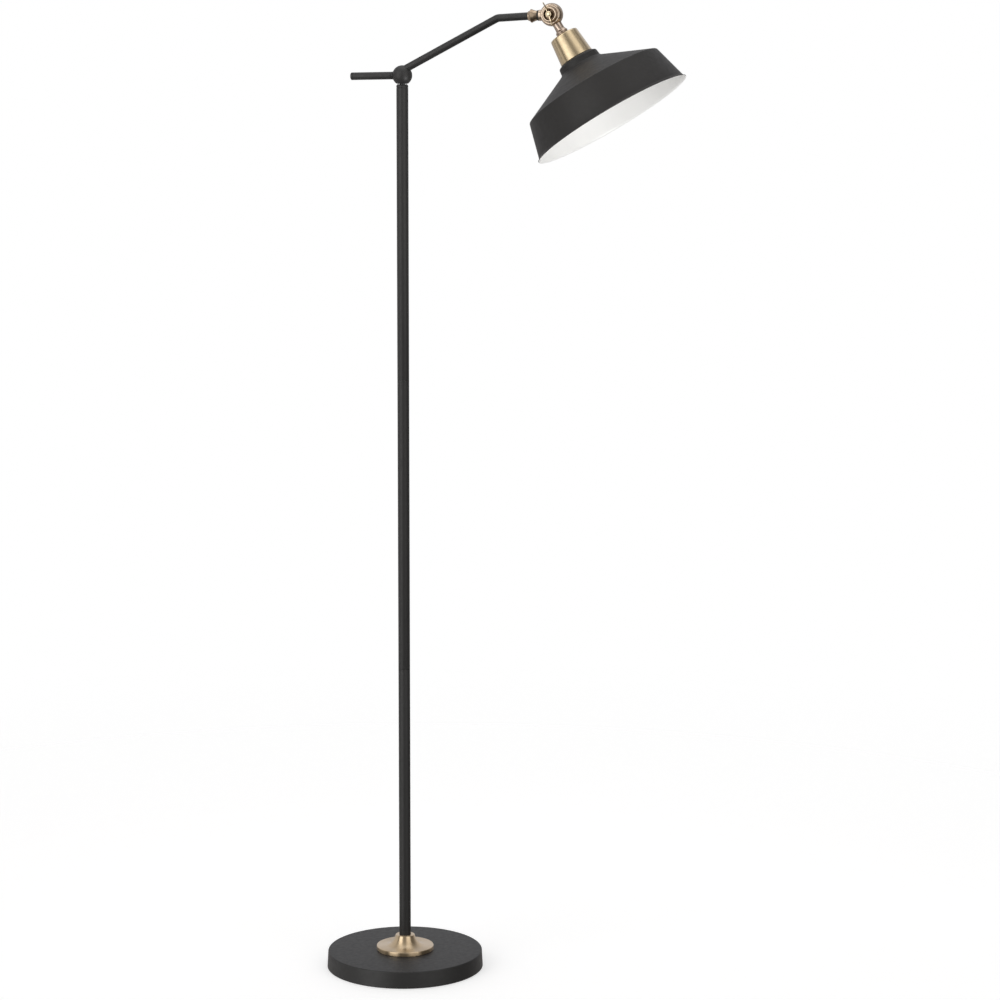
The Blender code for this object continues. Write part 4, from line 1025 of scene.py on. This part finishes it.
def make_cup():
    """The spun brass cup over the lampholder and the black washer above it."""
    top, end = STEM_WASHER_S
    obj = washer("stem_seal", NIPPLE_R + GAP, STEM_WASHER_R, -end, -top, HEAD, edge=0.0002)
    dress(obj, rubber, "head", "stem_washer")
    outer = head_outline([
        (NIPPLE_R + 0.0004, CUP_TOP_S), (0.0205, CUP_TOP_S + 0.0005),
        (0.0226, CUP_TOP_S + 0.0014), (CUP_TOP_R, CUP_TOP_S + 0.0032),
        (CUP_END_R, CUP_END_S),
    ])
    outline = thickened(filleted(outer, 0.0016, closed=False, count=6), CUP_WALL)
    obj = lathe("cup_spun", outline, HEAD, steps=144)
    dress(obj, brass_cup, "head", "socket_cup")


def ribbed(angle, radius, height):
    """Shallow grip ribs round the lampholder's outside."""
    if radius < HOLDER_R - 0.0001:
        return radius
    return radius - 0.0003 * (0.5 + 0.5 * math.cos(24.0 * angle))


def scalloped(angle, radius, height):
    """Finger scallops round the shade ring's outside."""
    if radius < SHADE_RING_R - 0.0016:
        return radius
    return radius - 0.0009 * max(0.0, math.cos(12.0 * angle)) ** 2


def make_lampholder():
    """The lampholder: a ribbed body, a threaded shell and a centre contact."""
    body = head_outline([
        (0.0, HOLDER_TOP_S + 0.0070), (0.0120, HOLDER_TOP_S + 0.0070),
        (0.0120, HOLDER_TOP_S), (0.0170, HOLDER_TOP_S),
        (HOLDER_R, HOLDER_TOP_S + 0.0030), (HOLDER_R, HOLDER_END_S),
        (SOCKET_R, HOLDER_END_S), (SOCKET_R, SOCKET_FLOOR_S), (0.0, SOCKET_FLOOR_S),
    ])
    obj = lathe("holder_body", filleted(body, 0.0007), HEAD, steps=192, ripple=ribbed)
    dress(obj, thermoplastic, "head", "lampholder_body")
    shell = thread_shell()
    dress(shell, nickel, "head", "lampholder_shell")
    contact = head_outline([
        (0.0, SOCKET_FLOOR_S + GAP), (CONTACT_R, SOCKET_FLOOR_S + GAP),
        (CONTACT_R, SOCKET_FLOOR_S + 0.0020), (CONTACT_R - 0.0015, SOCKET_FLOOR_S + 0.0030),
        (0.0, SOCKET_FLOOR_S + 0.0030),
    ])
    obj = lathe("holder_contact", filleted(contact, 0.0004), HEAD)
    dress(obj, nickel, "head", "lampholder_contact")


def thread_shell():
    """The pressed shell with a rolled screw thread."""
    rows = 132
    top, end = -SHELL_TOP_S, 0.0030 - HOLDER_END_S
    outline = [(THREAD_R, top + (end - top) * i / rows) for i in range(rows + 1)]
    outline += [(THREAD_R - THREAD_WALL, z) for _, z in reversed(outline)]

    def rolled(angle, radius, height):
        return radius + THREAD_DEPTH * math.sin(2.0 * math.pi * height / THREAD_PITCH - angle)

    return lathe("holder_thread", outline, HEAD, steps=72, ripple=rolled)


def make_shade():
    """The spun shade, black outside and white inside, and the ring that clamps it."""
    outer = head_outline([
        (0.0206, SHADE_PLATE_S), (CUP_END_R + 0.0002, SHADE_PLATE_S),
        (SHADE_NECK_TOP[0] - 0.0010, SHADE_NECK_TOP[1] - 0.0006),
        (SHADE_NECK_TOP[0], SHADE_NECK_TOP[1] + 0.0010),
        (SHADE_NECK_END[0], SHADE_NECK_END[1] - 0.0010),
        (0.0372, 0.0940), (0.0628, 0.1063), (0.0880, 0.1183),
        (SHADE_SHOULDER[0] - 0.0030, SHADE_SHOULDER[1] - 0.0014),
        SHADE_SHOULDER,
        (SHADE_SHOULDER[0] + 0.0010, SHADE_SHOULDER[1] + 0.0032),
        SHADE_SKIRT_END,
        (SHADE_SKIRT_END[0] + 0.0010, SHADE_SKIRT_END[1] + 0.0034),
        (SHADE_RIM[0] - 0.0017, SHADE_RIM[1] - 0.0019),
        (SHADE_RIM[0], SHADE_RIM[1] - 0.0008),
    ])
    easing = [0, 0.001, 0.0015, 0.0015, 0.0012, 0.004, 0.02, 0.02]
    easing += [0.003, 0.002, 0.002, 0.002, 0.002, 0.0016, 0]
    outer = filleted(outer, easing, closed=False, count=6)
    outline = thickened(outer, SHADE_WALL)
    shade = lathe("shade_spun", outline, HEAD, steps=224, inner_from=len(outer))
    dress(shade, paint_shade, "head", "shade", inside=paint_white)
    top = SHADE_PLATE_S + SHADE_WALL + GAP
    ring = head_outline([
        (HOLDER_R + GAP, top), (SHADE_RING_R, top), (SHADE_RING_R, top + 0.0050),
        (SHADE_RING_R - 0.0012, top + 0.0062), (HOLDER_R + GAP, top + 0.0062),
    ])
    obj = lathe("shade_clamp_ring", filleted(ring, 0.0005), HEAD, steps=192, ripple=scalloped)
    dress(obj, thermoplastic, "head", "shade_ring")


STEEL_NODES = (
    "base_nipple", "base_washer", "base_nut", "pole_foot_plug", "pole_coupler_lower",
    "pole_coupler_upper", "swivel_nipple", "swivel_spring_washer", "swivel_nut", "cup_nut",
)
LEAD_NODES = ("pole_lead", "arm_lead", "head_lead")


def finish_hidden_nodes():
    """Give each CAD solid that stays in the model its finish."""
    for material, names in ((iron, ("base_weight",)), (steel_zinc, STEEL_NODES), (sheath, LEAD_NODES)):
        for name in names:
            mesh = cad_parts[name].data
            mesh.materials.clear()
            mesh.materials.append(material)


# ------------ set


def make_floor():
    """A pale floor that fades into the background."""
    shape = bmesh.new()
    bmesh.ops.create_circle(shape, cap_ends=True, segments=96, radius=FLOOR_R)
    floor = add_shape("studio_floor", shape)
    material, nodes, shader, place = new_material("floor_pale")
    reach = nodes.add("ShaderNodeVectorMath", {0: place}, operation="LENGTH").outputs["Value"]
    fade = nodes.ease(reach, *FLOOR_FADE)
    shader.inputs["Base Color"].default_value = (0.70, 0.70, 0.70, 1.0)
    shader.inputs["Roughness"].default_value = 0.9
    shader.inputs["Specular IOR Level"].default_value = 0.1
    shader.inputs["Emission Color"].default_value = (1.0, 1.0, 1.0, 1.0)
    shader.inputs["Emission Strength"].default_value = 0.50
    clear = nodes.add("ShaderNodeBsdfTransparent")
    mix = nodes.add("ShaderNodeMixShader", {0: fade, 1: clear.outputs[0], 2: shader.outputs[0]})
    output = nodes.tree.nodes["Material Output"]
    nodes.tree.links.new(mix.outputs[0], output.inputs["Surface"])
    floor.data.materials.append(material)
    floor.visible_glossy = False
    floor.visible_diffuse = False


def make_world():
    """A studio seen only in reflections: white behind, two tall panels in front, dark between."""
    world = bpy.data.worlds.new("studio")
    world.use_nodes = True
    bpy.context.scene.world = world
    nodes = Nodes(world.node_tree)
    background = world.node_tree.nodes["Background"]
    direction = nodes.add("ShaderNodeTexCoord").outputs["Generated"]
    front = (math.sin(CAMERA_TURN), -math.cos(CAMERA_TURN), 0.0)
    beside = (math.cos(CAMERA_TURN), math.sin(CAMERA_TURN), 0.0)
    facing = nodes.along(direction, front)
    aside = nodes.along(direction, beside)
    turn = nodes.math("ARCTAN2", aside, facing)
    height = nodes.add("ShaderNodeSeparateXYZ", {"Vector": direction}).outputs["Z"]
    apart = nodes.math("ABSOLUTE", turn)
    middle = nodes.blend(nodes.ease(height, *FRONT_LOW_HEIGHTS), SET_FRONT, SET_FRONT_LOW)
    tone = nodes.blend(nodes.ease(apart, *SIDES_TURN), middle, SET_SIDES)
    tone = nodes.blend(nodes.ease(turn, *LEFT_TURN), tone, SET_LEFT)
    left = PANEL_LEFT, PANEL_LEFT_TURN, PANEL_LEFT_HEIGHTS
    right = PANEL_RIGHT, PANEL_RIGHT_TURN, PANEL_RIGHT_HEIGHTS
    for color, turns, heights in (left, right):
        share = nodes.band(turn, *(math.radians(t) for t in turns))
        share = nodes.math("MULTIPLY", share, nodes.band(height, *heights, *PANEL_TOPS))
        tone = nodes.blend(share, tone, color)
    behind = nodes.blend(nodes.ease(height, *BELOW_BACK_HEIGHTS), SET_BACK, SET_BELOW_BACK)
    tone = nodes.blend(nodes.ease(apart, *BACK_TURN), tone, behind)
    tone = nodes.blend(nodes.ease(height, *ABOVE_HEIGHTS), tone, SET_ABOVE)
    seen = nodes.add("ShaderNodeLightPath").outputs["Is Camera Ray"]
    shown = nodes.blend(seen, tone, (1.0, 1.0, 1.0))
    world.node_tree.links.new(shown, background.inputs["Color"])
    background.inputs["Strength"].default_value = 1.0


def softbox(name, place, target, size, power, spread=180.0):
    """A rectangular area light aimed at a point."""
    lamp = bpy.data.lights.new(name, "AREA")
    lamp.shape = "RECTANGLE"
    lamp.size, lamp.size_y = size
    lamp.energy = power
    lamp.spread = math.radians(spread)
    aim = (Vector(target) - Vector(place)).to_track_quat("-Z", "Y").to_matrix().to_4x4()
    obj = add_object(name, lamp, Matrix.Translation(place) @ aim)
    obj.visible_camera = False


def make_lights():
    """A large softbox above, and a small one, low on the right, that lights the shade's inside."""
    softbox("overhead", OVERHEAD_PLACE, OVERHEAD_AIM, size=(2.4, 1.8), power=17.0)
    inside = PIVOT + FILL_AIM_S * HEAD_DOWN
    softbox("reflector_fill", inside + FILL_OFFSET, inside, size=(0.40, 0.40), power=0.72, spread=40.0)


def make_camera():
    """The camera, near the arm's height, tipped down a little and turned round to the arm's side."""
    right = Vector((math.cos(CAMERA_TURN), math.sin(CAMERA_TURN), 0.0))
    ahead = Vector((-math.sin(CAMERA_TURN), math.cos(CAMERA_TURN), 0.0))
    place = -CAMERA_DISTANCE * ahead + CAMERA_ASIDE * right + Vector((0.0, 0.0, CAMERA_HEIGHT))
    forward = math.cos(CAMERA_PITCH) * ahead - math.sin(CAMERA_PITCH) * Vector((0.0, 0.0, 1.0))
    up = right.cross(forward)
    side = math.cos(CAMERA_ROLL) * right + math.sin(CAMERA_ROLL) * up
    top = math.cos(CAMERA_ROLL) * up - math.sin(CAMERA_ROLL) * right
    data = bpy.data.cameras.new("camera")
    data.sensor_width = SENSOR_MM
    data.lens = FOCAL_PER_WIDTH * SENSOR_MM
    data.clip_end = 100.0
    turn = Matrix((side, top, -forward)).transposed().to_4x4()
    bpy.context.scene.camera = add_object("camera", data, Matrix.Translation(place) @ turn)


make_base()
make_flange()
make_pole()
make_ball()
make_handle()
make_arm()
make_knuckle()
make_wing_nut()
make_cup()
make_lampholder()
make_shade()
finish_hidden_nodes()

make_floor()
make_world()
make_lights()
make_camera()
bpy.context.scene.view_settings.view_transform = "Standard"
